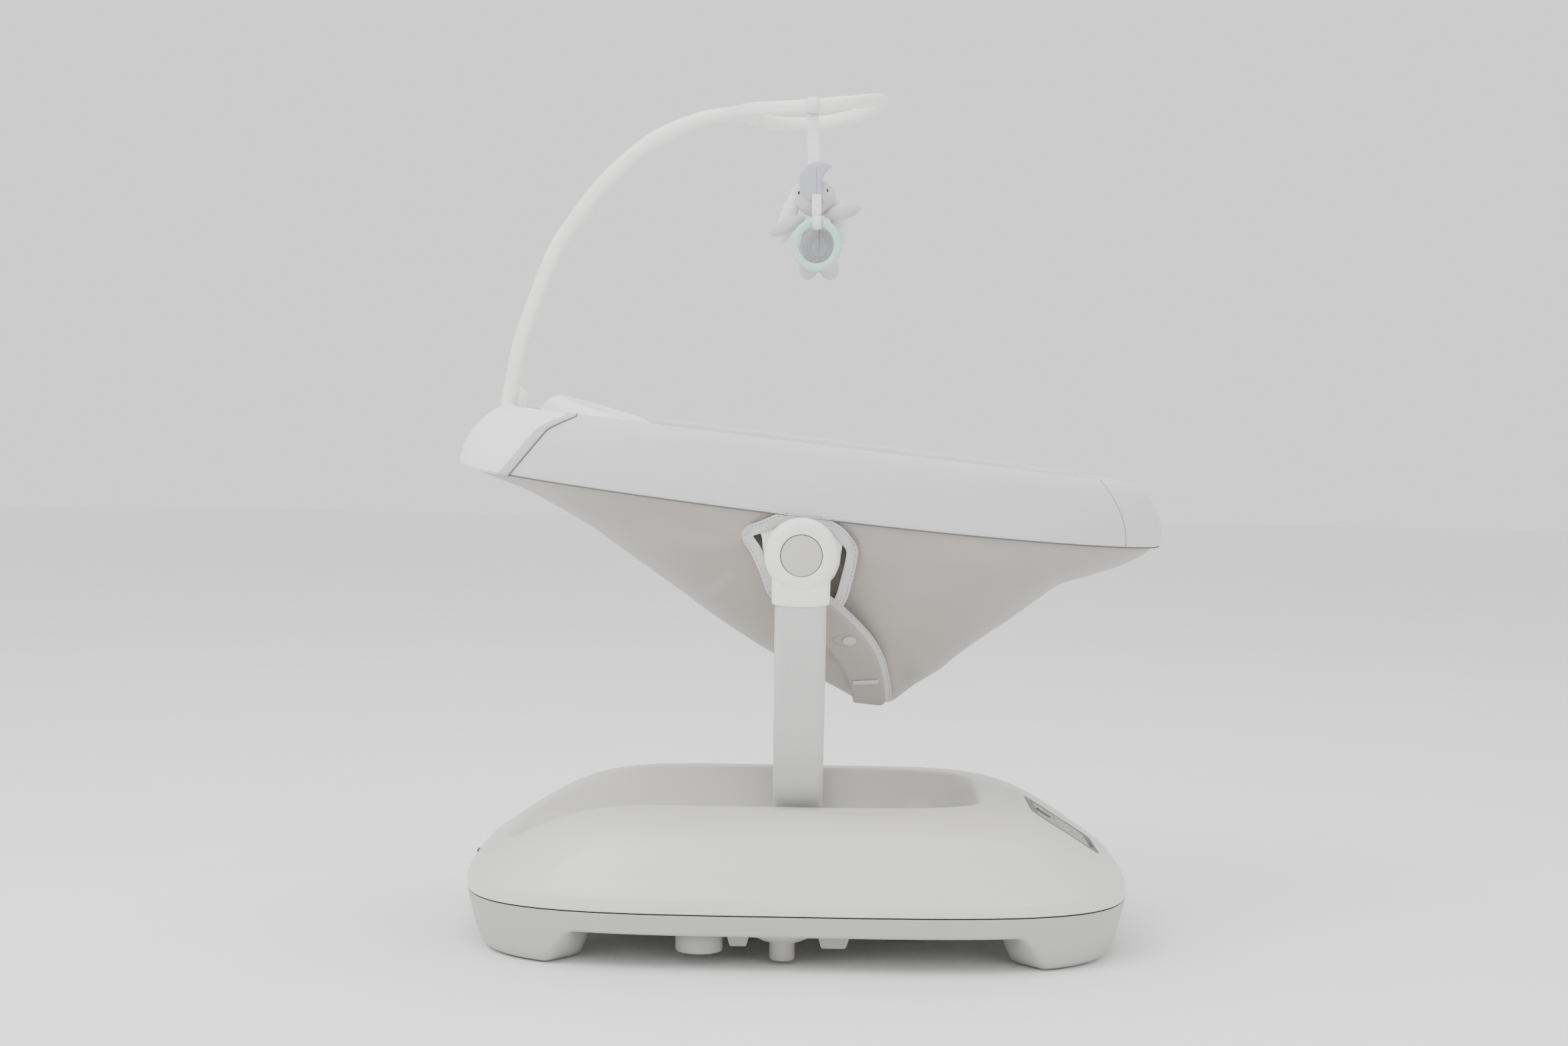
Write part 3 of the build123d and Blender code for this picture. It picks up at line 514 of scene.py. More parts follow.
def smooth_step(value, low, high):
    """0 below low, 1 above high, smooth between."""
    t = min(max((value - low) / (high - low), 0.0), 1.0)
    return t * t * (3 - 2 * t)


def dome_height(x, y):
    """Height of the dome without its trough."""
    power = UPPER[:, 3]
    level = ((abs(x) / UPPER[:, 1]) ** power + (abs(y) / UPPER[:, 2]) ** power) ** (1 / power)
    return float(np.interp(1.0, level, UPPER[:, 0])) + CROWN * max(0.0, 1 - level[-1])


def trough_height(x, y):
    """Height of the trough's floor and walls; far above the dome outside it."""
    level = ((abs(x - TROUGH[:, 1]) / TROUGH[:, 2]) ** TROUGH_POWER
             + (abs(y) / TROUGH[:, 3]) ** TROUGH_POWER) ** (1 / TROUGH_POWER)
    if level[-1] >= 1:
        return TROUGH_TOP + (level[-1] - 1) * BEYOND_TROUGH
    return float(np.interp(-1.0, -level, TROUGH[:, 0]))


def panel_local(x):
    """Distance down the panel's slope from its middle, and the height of its plane there."""
    along = (x - PANEL_PLACE[0]) / cos(PANEL_SLOPE)
    return along, PANEL_PLACE[1] - (x - PANEL_PLACE[0]) * tan(PANEL_SLOPE)


def top_height(x, y):
    """Height of the finished upper shell."""
    height = smooth_min(dome_height(x, y), trough_height(x, y), RIDGE_ROUNDING)
    if x < 200:
        return height
    along, plane = panel_local(x)
    outside = max(abs(along) - PANEL_HALF[0], abs(y) - PANEL_HALF[1])
    flat = 1 - smooth_step(outside, 0, PANEL_BLEND)
    height = height * (1 - flat) + plane * flat
    height -= PANEL_LIP * (1 - smooth_step(outside, -4, -1))
    return height - PANEL_RECESS * (1 - smooth_step(outside, -9, -5))


def make_upper_shell():
    """Dome with its trough as one smooth skin, with the vertical lip above the parting line."""
    angles = even_angles(*BASE_HALF, BASE_POWER, 260)
    rim = [superellipse(a, BASE_POWER) for a in angles]
    rows = []
    lip = ((2.6, 61.0), (2.4, 58.6), (1.4, 58.0), (0.4, 58.2), (0.0, 59.2), (0.1, 64.0), (0.2, 68.5))
    for inset, z in lip:
        rows.append([mm((BASE_HALF[0] - inset) * c, (BASE_HALF[1] - inset) * s, z) for c, s in rim])
    spans = ((0.9985, 0.93, 12), (0.922, 0.30, 92), (0.28, 0.02, 14))
    for share in np.concatenate([np.linspace(*span) for span in spans]):
        row = []
        for c, s in rim:
            x = BASE_HALF[0] * c * share
            y = BASE_HALF[1] * s * share
            row.append(mm(x, y, top_height(x, y)))
        rows.append(row)
    mesh = grid("upper_cover", rows, cap_end=True)
    piece = new_piece("upper_cover", mesh, "base", "upper_white")
    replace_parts(piece, "upper_shell")


FOOT_X = (218, 258)
FOOT_Y = (106, 146)


def foot_share(x, y):
    """0 on the skirt, 1 on a corner foot."""
    return smooth_step(abs(x), *FOOT_X) * smooth_step(abs(y), *FOOT_Y)


def make_lower_shell():
    """Tapered skirt that runs down into four corner feet, with a floor inside."""
    angles = even_angles(*BASE_HALF, BASE_POWER, 320)
    rim = [superellipse(a, BASE_POWER) for a in angles]
    rows = []
    steps = [(2.5, 0, 54.0, 0), (2.2, 0, 56.2, 0), (1.0, 0, 56.9, 0), (0.2, 0, 56.5, 0)]
    for part in np.linspace(0, 1, 13):
        steps.append((0, 0, 55.5 + (SKIRT + 3 - 55.5) * part, -32 * part))
    steps += [(0.9, 1.4, SKIRT + 1.2, -34.5), (2.5, 3.5, SKIRT + 0.2, -35.4), (4.5, 30, SKIRT + 0.2, -35.6),
              (5.5, 40, SKIRT + 0.6, -34.0), (6.5, 52, SKIRT + 1.0, -20), (7.5, 62, SKIRT + 1.4, 0),
              (80, 0, SKIRT + 1.4, 0), (150, 0, SKIRT + 1.4, 0), (220, 0, SKIRT + 1.4, 0)]
    for inset, inset_at_foot, height, height_at_foot in steps:
        row = []
        for c, s in rim:
            share = foot_share(BASE_HALF[0] * c * 0.985, BASE_HALF[1] * s * 0.97)
            z = height + height_at_foot * share
            lean = 0.22 * (PARTING - z) + 0.0018 * max(0, 36 - z) ** 2
            d = inset + inset_at_foot * share + lean
            row.append(mm((BASE_HALF[0] - d) * c, (BASE_HALF[1] - d) * s, z))
        rows.append(row)
    mesh = grid("lower_tray", rows, cap_end=True)
    piece = new_piece("lower_tray", mesh, "base", "lower_grey")
    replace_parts(piece, "lower_shell")


def drum(x, y, profile):
    """Turned detail on the underside, from (radius, height) pairs."""
    return lathe("drum", profile, mm(x, y, 0), (0, 0, 1), 40)


def wedge(x0, x1, y0, y1, left, right, low):
    """Block below the floor, down to low; left and right are how far its ends lean in."""
    rows = []
    for z, cut in ((SKIRT + 2, 0), (low + 1.5, 1), (low, 1.25)):
        a, b = x0 + left * cut, x1 - right * cut
        c, d = y0 + 2 * cut, y1 - 2 * cut
        rows.append([mm(a, c, z), mm(b, c, z), mm(b, d, z), mm(a, d, z)])
    return grid("wedge", rows, cap_start=True, cap_end=True)


def make_underside():
    """Post, flange, stiffening pockets and web moulded under the floor."""
    parts = [
        drum(-13, -190, [(30, SKIRT + 2), (30, 31), (28.5, 28), (24, 26), (14, 25.2), (12.6, 24), (12.4, 6),
                         (11.4, 4.2), (9, 4)]),
        drum(-13, -190, [(22, 27.0), (22, 24.6), (20.5, 24.6), (20.5, 27.0)]),
        wedge(-70, -43, -201, -172, 5, 5, 18),
        wedge(20, 56, -201, -172, 5, 6, 17),
        wedge(56, 140, -168, -163, 0, 62, 24),
        wedge(-150, -70, -168, -163, 60, 0, 26),
    ]
    piece = new_piece("underside_ribs", join("underside_ribs", parts), "base", "lower_grey")
    add_bevel(piece, 0.0008, 2)
    cup = [(23.5, SKIRT + 2), (23.5, 14), (22.6, 12.3), (21, 12), (18.5, 12), (17.5, 13), (3, 13)]
    piece = new_piece("speaker_cup_skin", drum(-95, -190, cup), "base", "lower_grey")
    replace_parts(piece, "speaker_cup")


def panel_matrix():
    """Frame of the control panel: x down the slope, z out of it."""
    down = Vector((cos(PANEL_SLOPE), 0, -sin(PANEL_SLOPE)))
    out = Vector((sin(PANEL_SLOPE), 0, cos(PANEL_SLOPE)))
    rows = Matrix((down, Vector((0, 1, 0)), out)).transposed().to_4x4()
    return Matrix.Translation(mm(PANEL_PLACE[0], 0, PANEL_PLACE[1])) @ rows


def make_panel():
    """Button icons, status lights, and black lines as painted shade in the grooves, on the panel's CAD
    pieces.
    """
    place = panel_matrix()
    spots = {"motion": (0, -26), "timer": (0, 0), "sound": (0, 26), "volume": (20, 0)}
    for name, (along, across) in spots.items():
        bars = []
        for index, width in enumerate((2.0, 3.4, 2.0)):
            middle = mm(along + (index - 1) * 2.2, across, 1.0)
            bars.append(lathe("bar", [(0.4, -width), (0.5, 0), (0.4, width)], middle, (0, 1, 0), 8))
        mark = join(f"{name}_mark", bars)
        mark.transform(place)
        new_piece(f"{name}_mark", mark, f"{name}_button_body", "dark_panel")
    ring = [mm(-22 + 4.6 * cos(a), 4.6 * sin(a), 1.0) for a in np.linspace(0.5, 5.8, 24)]
    mark = sweep("power_mark", ring, (0.45, 0.3, 2, 8))
    mark.transform(place)
    new_piece("power_mark", mark, "power_button_body", "pad_grey")
    light = [(1.1, -0.5), (1.1, 0.2), (0.6, 0.5)]
    lights = [lathe("light", light, mm(-22, 18 + 5 * index, 0), (0, 0, 1), 16) for index in range(4)]
    mesh = join("status_lights", lights)
    mesh.transform(place)
    new_piece("status_lights", mesh, "base", "hub_white")
    # black lines in the panel's grooves: painted groove shade
    groove = []
    for x, y0, y1 in ((34.5, -34, 34), (37.5, -24, 24)):
        groove.append(lathe("groove", [(0.5, y0), (0.5, y1)], mm(x, 0, 0), (0, 1, 0), 8))
    mesh = join("panel_groove_shade", groove)
    mesh.transform(place)
    new_piece("panel_groove_shade", mesh, "base", "black_plastic")


def make_base():
    """All looks that ride on the base."""
    make_upper_shell()
    make_lower_shell()
    make_underside()
    make_panel()


# ---------------------------------------------------------------- yoke and hubs
HUB_Z = 406.0
SIDES = (("left", -1, "near"), ("right", 1, "far"))
HUB_PROFILE = (
    (11.2, 213), (28, 213), (29.5, 212), (30, 209.6), (33, 209), (35, 209.6), (36, 211.5), (36, 226),
    (35.6, 230.4), (34.2, 233.6), (31.5, 235.8), (27, 236.8), (22.5, 237.1), (21.2, 237.0), (20.7, 236.4),
    (20.5, 232), (20.5, 218), (19, 217), (11.2, 217), (11.2, 213),
)
HUB_CAP_PROFILE = (
    (0.5, 234), (18, 234), (18, 222), (20, 222), (20, 235.0), (19.5, 236.0), (18.5, 236.4), (12, 236.9),
    (5, 237.2), (0.5, 237.3),
)
COLLAR_INNER = 209.4


def make_yoke():
    """Turned hub housings with collars, and round buttons."""
    centre = mm(0, 0, HUB_Z)
    for side, sign, word in SIDES:
        mesh = lathe("hub_drum", HUB_PROFILE, centre, (0, sign, 0), 96, caps=False)
        piece = new_piece(f"hub_drum_{side}", mesh, "carriage", "hub_white")
        make_collar(side, sign)
        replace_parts(piece, f"hub_housing_{side}")
        mesh = lathe("button", HUB_CAP_PROFILE, centre, (0, sign, 0), 96)
        cap = new_piece(f"hub_cap_{side}", mesh, f"hub_button_{word}", "button_grey")
        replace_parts(cap, f"hub_button_{side}")


def make_collar(side, sign):
    """White collar below the hub, tapering into the drum."""
    rows = []
    for z, half_x, out, sag in ((358.6, 26.0, 233.4, 2.4), (358.9, 27.6, 234.2, 2.4),
                                (360, 28.0, 234.6, 2.4), (372, 28.3, 234.6, 0), (382, 28.5, 234.2, 0),
                                (390, 28.6, 232.5, 0), (396, 28.4, 229.5, 0), (404, 28.0, 226.0, 0)):
        middle = (out + COLLAR_INNER) / 2
        half_y = (out - COLLAR_INNER) / 2
        rows.append([mm(a, sign * (middle + b), z - sag * (1 - (a / 28.7) ** 2))
                     for a, b in oval(half_x, half_y, 5.0, 48)])
    return solid(f"hub_collar_{side}", rows, "carriage", "hub_white")


# ---------------------------------------------------------------- seat, in its tilted plane
TILT = radians(6.2)
SEAT_Z = 480.0
RIM_POWER = 2.8
RIM_CENTRE = 12.0
RIM_HALF = (365.5, 206.0)
BAG = smooth_table([
    (-37, 9, 360, 202, 2.8), (-44, 20, 344, 200, 2.8), (-52, 31, 316, 196, 2.8), (-66, 33, 280, 190, 2.8),
    (-82, 34, 245, 182, 2.7), (-102, 41, 216, 171, 2.6), (-124, 49, 185, 157, 2.5),
    (-146, 56, 153, 142, 2.4), (-168, 64.5, 121.5, 124, 2.3), (-187, 75, 93, 106, 2.2),
    (-203, 84, 64, 86, 2.1), (-217, 94.5, 39.5, 62, 2.0), (-226, 100.5, 23.5, 40, 2.0),
    (-229.5, 103, 11, 18, 2.0),
], 6)


def seat_point(u, y, w):
    """World place, in metres, of a point in the seat's tilted plane, in millimetres."""
    return mm(u * cos(TILT) + w * sin(TILT), y, SEAT_Z - u * sin(TILT) + w * cos(TILT))


def seat_coords(x, z):
    """Seat-plane (u, w) of a world place given in millimetres."""
    dz = z - SEAT_Z
    return x * cos(TILT) - dz * sin(TILT), x * sin(TILT) + dz * cos(TILT)


def rim_lift(u):
    """Rise of the rim's bottom edge and drop of its top edge towards both ends."""
    return (4.0 if u < 0 else 7.5) * (u / 350) ** 2, -4.6 - 2.6 * (u / 340) ** 4


def rim_surface(angle, inset, height, grow=0.0):
    """Point on the padded rim: inset from the outer outline at a height between -38 and 38."""
    c, s = superellipse(angle, RIM_POWER)
    k = min(max((height + 38) / 76, 0), 1)
    lean_x = (31 if c < 0 else 24) * k ** 2.0
    lean_y = 9 * k ** 1.8
    u = RIM_CENTRE + (RIM_HALF[0] - inset + grow - lean_x) * c
    y = (RIM_HALF[1] - inset + grow - lean_y) * s
    low, high = rim_lift(u)
    return seat_point(u, y, height + low * (1 - k) + high * k)


RIM_PROFILE = [
    (9, -38.2), (5, -38.6), (2.2, -38.0), (0.6, -35.5), (0, -31), (-0.6, -22), (-1.0, -12), (-1.0, 0),
    (-0.6, 10), (0.2, 20),
    (1.6, 28), (4.2, 33.5), (8, 37.0), (12.5, 38.6), (17, 38.0), (21, 35.5), (24, 31), (25.5, 24),
    (26.5, 12), (27, 0), (27.5, -14), (28, -28), (24, -34), (16, -36.5),
]


def make_rim():
    """Padded fabric band round the seat."""
    dense = spline(RIM_PROFILE, 3, closed=True)
    angles = even_angles(*RIM_HALF, RIM_POWER, 260)
    rows = [[rim_surface(a, inset, height) for inset, height in dense] for a in angles]
    mesh = grid("rim_cover", rows + [rows[0]])
    piece = new_piece("rim_cover", mesh, "seat", "rim_fabric")
    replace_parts(piece, "rim_band")
    # seam along the rim's bottom edge, drawn near-black: the seam is real, its dark colour is painted crease
    # shade where the rim meets the hammock
    seam = [rim_surface(a, 1.4, -38.0) for a in even_angles(*RIM_HALF, RIM_POWER, 320)]
    new_piece("rim_seam_shade", sweep("rim_seam_shade", seam, (0.65, 0.65, 2, 8), closed=True),
              "seat", "seam_dark", "rim_fabric")


def make_foot_seams():
    """Curved sewn seam across the band near the foot end, on both sides."""
    for word, sign in (("near", 1), ("far", -1)):
        line = []
        for inset, height in spline(RIM_PROFILE[2:16], 4):
            k = min(max((height + 38) / 76, 0), 1)
            share = (328 - 32 * k ** 2 - RIM_CENTRE) / (RIM_HALF[0] - inset - 24 * k ** 2)
            point = rim_surface(-acos(min(share, 0.999) ** (RIM_POWER / 2)), inset, height, 0.1)
            line.append(Vector((point.x, sign * point.y, point.z)))
        mesh = sweep("foot_seam", line, (0.32, 0.32, 2, 8), up=(0.3, 1, 0.2))
        new_piece(f"foot_seam_{word}", mesh, "seat", "thread", "rim_fabric")


def cover_edge(height):
    """Where the head cover ends, as u, at a height on the rim."""
    k = min(max((height + 38) / 74, 0), 1)
    return -290 + 44 * k + 30 * smooth_step(k, 0.72, 1.25)


def cover_angle(inset, height, shift):
    """Angle round the rim at which the head cover ends, on the near side."""
    k = min(max((height + 38) / 76, 0), 1)
    limit = (cover_edge(height) - shift - RIM_CENTRE) / (RIM_HALF[0] - inset - 31 * k ** 2.0)
    return 2 * pi - acos(max(-0.999, -abs(limit) ** (RIM_POWER / 2)))


def cover_profile():
    """Outline of the head cover across the rim, as inset and height."""
    return spline([(13, -36.5), (8, -39.2)] + RIM_PROFILE[1:21], 3)


def make_head_cover():
    """White cover drawn over the head end, with a flat bound edge."""
    rows = []
    steps = 70
    for index in range(steps + 1):
        share = index / steps * 2 - 1
        row = []
        for inset, height in cover_profile():
            angle = pi + share * (cover_angle(inset, height, 0) - pi)
            row.append(rim_surface(angle, inset, height, 1.4))
        rows.append(row)
    mesh = grid("head_cover_skin", rows, wrap=False)
    piece = new_piece("head_cover_skin", mesh, "seat", "cover_fabric")
    add_thickness(piece, 1.6 * MM)
    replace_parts(piece, "head_cover")
    for word, sign in (("near", -1), ("far", 1)):
        rows = []
        for shift, grow in ((-0.2, 0.4), (-0.2, 2.2), (0.6, 2.9), (3, 3.1), (7, 2.9), (9.4, 2.3),
                            (9.8, 1.2)):
            row = []
            for inset, height in cover_profile():
                point = rim_surface(cover_angle(inset, height, shift), inset, height, grow)
                row.append((point.x, -sign * point.y, point.z))
            rows.append(row)
        mesh = grid("cover_binding", rows, wrap=False)
        new_piece(f"cover_binding_{word}", mesh, "seat", "hem_tape", "cover_fabric")
        # painted shadow: near-black line along the binding's edge where the head cover meets the rim
        line = [Vector(p) for p in rows[0]]
        new_piece(f"cover_shadow_{word}", sweep("cover_shadow_line", line, (0.7, 0.7, 2, 8), up=(0.3, 1, 0.2)),
                  "seat", "seam_dark", "cover_fabric")
    edge = [rim_surface(a, 3.0, -38.6, 1.2) for a in np.linspace(pi - 0.62, pi + 0.62, 80)]
    new_piece("cover_hem", sweep("cover_hem", edge, (1.2, 0.6, 2, 10)), "seat", "cover_fabric")


def bag_ring(level):
    """Middle, half length, half width and power of the hammock's outline at a height."""
    order = BAG[::-1]
    return [float(np.interp(level, order[:, 0], order[:, k])) for k in (1, 2, 3, 4)]


def bag_folds(u, w):
    """Depth of the soft folds pulled towards the hub, in millimetres."""
    fold = 0.0
    x0, w0 = -30.0, -78.0
    dx, dw = u - x0, w - w0
    distance = hypot(dx, dw)
    if dx < 0:
        angle = atan2(-dw, -dx)
        fade = smooth_step(distance, 24, 75) * (1 - smooth_step(distance, 90, 230)) * smooth_step(-dx, 0, 45)
        fold += 3.6 * sin(angle * 7.0 + 0.4) * fade
        fold += 1.5 * sin(angle * 15.0 + 1.3) * fade * (1 - smooth_step(distance, 60, 150))
    near_low = (1 - smooth_step(abs(w + 205), 8, 45)) * (1 - smooth_step(abs(u - 105), 10, 90))
    fold += 2.4 * near_low * sin(0.16 * (u - 40) + 0.05 * w)
    foot = smooth_step(u, 150, 330) * (1 - smooth_step(w, -60, -42))
    fold += 1.6 * foot * sin(0.11 * u + 0.09 * w)
    drape = 1.2 * sin(0.021 * u + 0.9) * sin(0.03 * w)
    return (fold + drape) * smooth_step(-w, 38, 66)


def bag_place(angle, level, lift=0.0):
    """Point on the hammock's outside."""
    centre, half_x, half_y, power = bag_ring(level)
    c, s = superellipse(angle, power)
    u = centre + half_x * c
    fold = bag_folds(u, level) * smooth_step(abs(s), 0.05, 0.5)
    rise = rim_lift(u)[0] * (1 - smooth_step(-level, 37, 62))
    return seat_point(centre + (half_x + lift + 0.3 * fold) * c, (half_y + lift + fold) * s, level + rise)


OPENING = [(-51, 423), (-38, 430), (-3, 442), (30, 429), (42, 418), (47, 410), (46.5, 401), (42.5, 383),
           (35, 359), (22, 352), (-8, 354), (-24, 368), (-33, 390), (-43, 410)]
FLAP = [(24, 364), (43.4, 347.5), (61.8, 328), (72.8, 313), (82, 294.5), (86.6, 277), (89.5, 262),
        (90, 248)]


def inside(point, polygon):
    """True if a 2-D point is inside a polygon."""
    x, z = point
    hit = False
    for (x0, z0), (x1, z1) in zip(polygon, polygon[1:] + polygon[:1]):
        if (z0 > z) != (z1 > z) and x < (x1 - x0) * (z - z0) / (z1 - z0) + x0:
            hit = not hit
    return hit


def bag_y(x, z, sign=-1, lift=0.0):
    """Y, in millimetres, of the hammock's side over a world (x, z), both in millimetres."""
    u, w = seat_coords(x, z)
    centre, half_x, half_y, power = bag_ring(w)
    share = min(abs((u - centre) / half_x), 0.999)
    width = half_y * (1 - share ** power) ** (1 / power)
    fold = bag_folds(u, w) * smooth_step(width / half_y, 0.05, 0.5)
    return sign * (width + fold * width / half_y + lift)


def side_point(x, z, sign, lift):
    """World point on the hammock's side, led over the bracket cowl behind the hub."""
    away = max(abs(x - 2.5) - 41, abs(z - 407) - 36, 0)
    over = 204.4 + 0.7 * lift - 1.1 * max(0.0, away - 3)
    y = max(abs(bag_y(x, z, sign, lift)), over)
    return mm(x, sign * y, z)


def side_normal(x, z, sign):
    """Outward direction of the hammock's side at a world (x, z)."""
    across = side_point(x + 2, z, sign, 0) - side_point(x - 2, z, sign, 0)
    up = side_point(x, z + 2, sign, 0) - side_point(x, z - 2, sign, 0)
    normal = across.cross(up).normalized()
    return normal if normal.y * sign > 0 else -normal


def kept_on_bag(x, z):
    """World (x, z) pulled inside the hammock's side outline."""
    u, w = seat_coords(x, z)
    w = max(w, -226)
    centre, half_x = bag_ring(w)[:2]
    place = seat_point(centre + min(max((u - centre) / half_x, -0.96), 0.96) * half_x, 0, w)
    return place.x / MM, place.z / MM


def side_ribbon(name, path, width, sign, lift=0.6, thick=1.2, material="hem_tape", closed=False, shift=0.0):
    """Tape sewn on the hammock's side along a world (x, z) path."""
    line = spline(path, 6, closed=closed)
    count = len(line)
    rows = []
    for i, point in enumerate(line):
        ahead = line[(i + 1) % count] if closed else line[min(i + 1, count - 1)]
        behind = line[i - 1] if closed else line[max(i - 1, 0)]
        tangent = (ahead - behind) / (np.linalg.norm(ahead - behind) + 1e-9)
        side = np.array((tangent[1], -tangent[0]))
        row = []
        section = ((-0.5, -thick), (-0.5, 0.0), (-0.42, 0.35), (0.0, 0.5), (0.42, 0.35), (0.5, 0.0),
                   (0.5, -thick))
        for k, rise in section:
            x, z = point + side * (k * width + shift)
            row.append(side_point(x, z, sign, lift + rise))
        rows.append(row)
    if closed:
        return new_piece(name, grid(name, rows + [rows[0]]), "seat", material, "bag_fabric")
    return solid(name, rows, "seat", material, "bag_fabric")


def side_stitches(name, path, sign, lift=1.3, pitch=2.6, length=1.7, shift=0.0, closed=False):
    """Row of stitches along a world (x, z) path on the hammock's side."""
    line = [np.array(p) for p in spline(path, 10, closed=closed)]
    meshes = []
    travel = 0.0
    for a, b in zip(line, line[1:]):
        step = np.linalg.norm(b - a)
        travel += step
        if travel < pitch:
            continue
        travel = 0.0
        tangent = (b - a) / (step + 1e-9)
        side = np.array((tangent[1], -tangent[0]))
        ends = [a + side * shift, a + side * shift + tangent * length]
        points = [side_point(p[0], p[1], sign, lift) for p in ends]
        meshes.append(sweep("stitch", points, (0.28, 0.22, 2, 5), up=(0.3, 1, 0.1)))
    new_piece(name, join(name, meshes), "seat", "thread", "bag_fabric")


def make_bag():
    """Hammock skin with an opening round each hub, its hems, the side flap, snap and buttonhole."""
    angles = even_angles(360, 202, 2.6, 380)
    levels = list(np.linspace(-37, -229.4, 88))
    rows = [[bag_place(a, level) for a in angles] for level in levels]
    mesh = grid("hammock", rows, cap_end=True)
    work = bmesh.new()
    work.from_mesh(mesh)
    cut = []
    for face in work.faces:
        middle = face.calc_center_median()
        if abs(middle.y) > 0.12 and inside((middle.x / MM, middle.z / MM), OPENING):
            cut.append(face)
    bmesh.ops.delete(work, geom=cut, context="FACES")
    work.to_mesh(mesh)
    work.free()
    piece = new_piece("hammock", mesh, "seat", "bag_fabric")
    add_thickness(piece, 1.0 * MM)
    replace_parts(piece, "seat_bag")
    for word, sign in (("near", -1), ("far", 1)):
        side_ribbon(f"opening_hem_{word}", OPENING, 11.5, sign, closed=True, shift=-2.2)
        side_stitches(f"opening_stitches_{word}", OPENING, sign, lift=1.5, shift=-5.6, closed=True)
        side_stitches(f"opening_edge_stitches_{word}", OPENING, sign, lift=0.7, shift=-9.6, closed=True)
        side_ribbon(f"flap_hem_{word}", FLAP, 8.0, sign, lift=2.2, thick=2.4)
        side_stitches(f"flap_stitches_{word}", FLAP, sign, lift=3.0, shift=4.6)
        side_stitches(f"flap_edge_stitches_{word}", FLAP, sign, lift=3.1, shift=-2.6)
        seam = [(-2, 443), (30, 437), (52, 424), (58, 405), (54, 384), (45, 350)]
        side_stitches(f"topstitch_{word}", seam, sign, lift=0.4, pitch=2.2, length=1.9)
        make_overlap(word, sign)
        make_snap(word, sign)
        patch = [(54, 269), (68, 270), (80, 271)]
        side_ribbon(f"buttonhole_{word}", patch, 4.2, sign, lift=4.4, thick=2.6)
        patch_edge = [(56, 272), (67, 273), (79, 274)]
        side_stitches(f"buttonhole_stitches_{word}", patch_edge, sign, lift=5.0, pitch=1.2, length=1.0)


def side_sheet(name, lines, sign, material):
    """Skin on the hammock's side through rows of (x, z, lift)."""
    rows = []
    for line in lines:
        rows.append([side_point(x, z, sign, lift) for x, z, lift in line])
    piece = new_piece(name, grid(name, rows, wrap=False), "seat", material, "bag_fabric")
    add_thickness(piece, 0.8 * MM)


def make_overlap(word, sign):
    """Sheet behind the opening in a darkened copy of the bag fabric, as painted shade, and the lower flap
    that overlaps the hammock.
    """
    lines = []
    # dark sheet in the hammock's shaded colour: painted shade seen through the opening
    for z in range(344, 444, 4):
        lines.append([mm(x, bag_y(x, z, sign, -2.4), z) for x in range(-60, 64, 4)])
    mesh = grid("shade_sheet", lines, wrap=False)
    piece = new_piece(f"opening_shade_sheet_{word}", mesh, "seat", "bag_inside", "bag_fabric")
    add_thickness(piece, 0.8 * MM)
    lines = []
    for x, z in spline(FLAP, 5):
        lines.append([(*kept_on_bag(x - 2.6 - 3.0 * k, z - 1.8 - 2.1 * k), 2.3 - 0.2 * k)
                      for k in range(11)])
    side_sheet(f"flap_panel_{word}", lines, sign, "bag_fabric")


def make_snap(word, sign):
    """Round snap on a stitched square patch."""
    x, z = 49.0, 318.0
    normal = side_normal(x, z, sign)
    centre = side_point(x, z, sign, 2.4) + 1.6 * MM * normal
    profile = [(0.5, -1.5), (6.6, -1.5), (6.9, 0.2), (6.0, 1.2), (4.8, 0.9), (3.6, 1.3), (0.4, 1.5)]
    mesh = lathe("snap", profile, centre, normal, 32)
    piece = new_piece(f"snap_cap_{word}", mesh, "seat", "button_grey")
    square = [(31, 318), (41, 311), (57, 315.5), (45, 325), (31, 318)]
    side_stitches(f"snap_patch_{word}", square, sign, lift=3.0, pitch=1.6, length=1.3)
    if word == "near":
        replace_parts(piece, "bag_snaps")


def make_bracket_cowls():
    """White moulded shoulders of the seat bracket, seen behind each hub."""
    outline = [(-40, 28), (-38.5, 12), (-37.5, -2), (-36, -16), (-26, -30), (0, -37), (26, -30), (36, -16),
               (38.5, -2), (40, 10), (39, 19), (32, 27), (0, 32)]
    ring = spline(outline, 5, closed=True)
    section = ((190.5, 0.90), (190.5, 0.985), (192, 1.0), (201, 1.0), (203, 0.985), (203.6, 0.95),
               (203.6, 0.80))
    for word, sign, node in (("near", -1, "seat_brackets"), ("far", 1, "recline_discs")):
        rows = [[mm(x * grow, sign * y, 408 + z * grow) for x, z in ring] for y, grow in section]
        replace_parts(solid(f"bracket_cowl_{word}", rows, "seat", "hub_white"), node)


def liner_w(u, y):
    """Height of the liner's resting surface at a place in the seat plane."""
    table = BAG
    inset = 19.0
    half_x = np.maximum(table[:, 2] - 0.8 * inset, 4)
    half_y = np.maximum(table[:, 3] - 0.8 * inset, 4)
    power = table[:, 4]
    level = ((abs(u - table[:, 1]) / half_x) ** power + (abs(y) / half_y) ** power) ** (1 / power)
    return float(np.interp(1.0, level, table[:, 0])) + 0.7 * inset


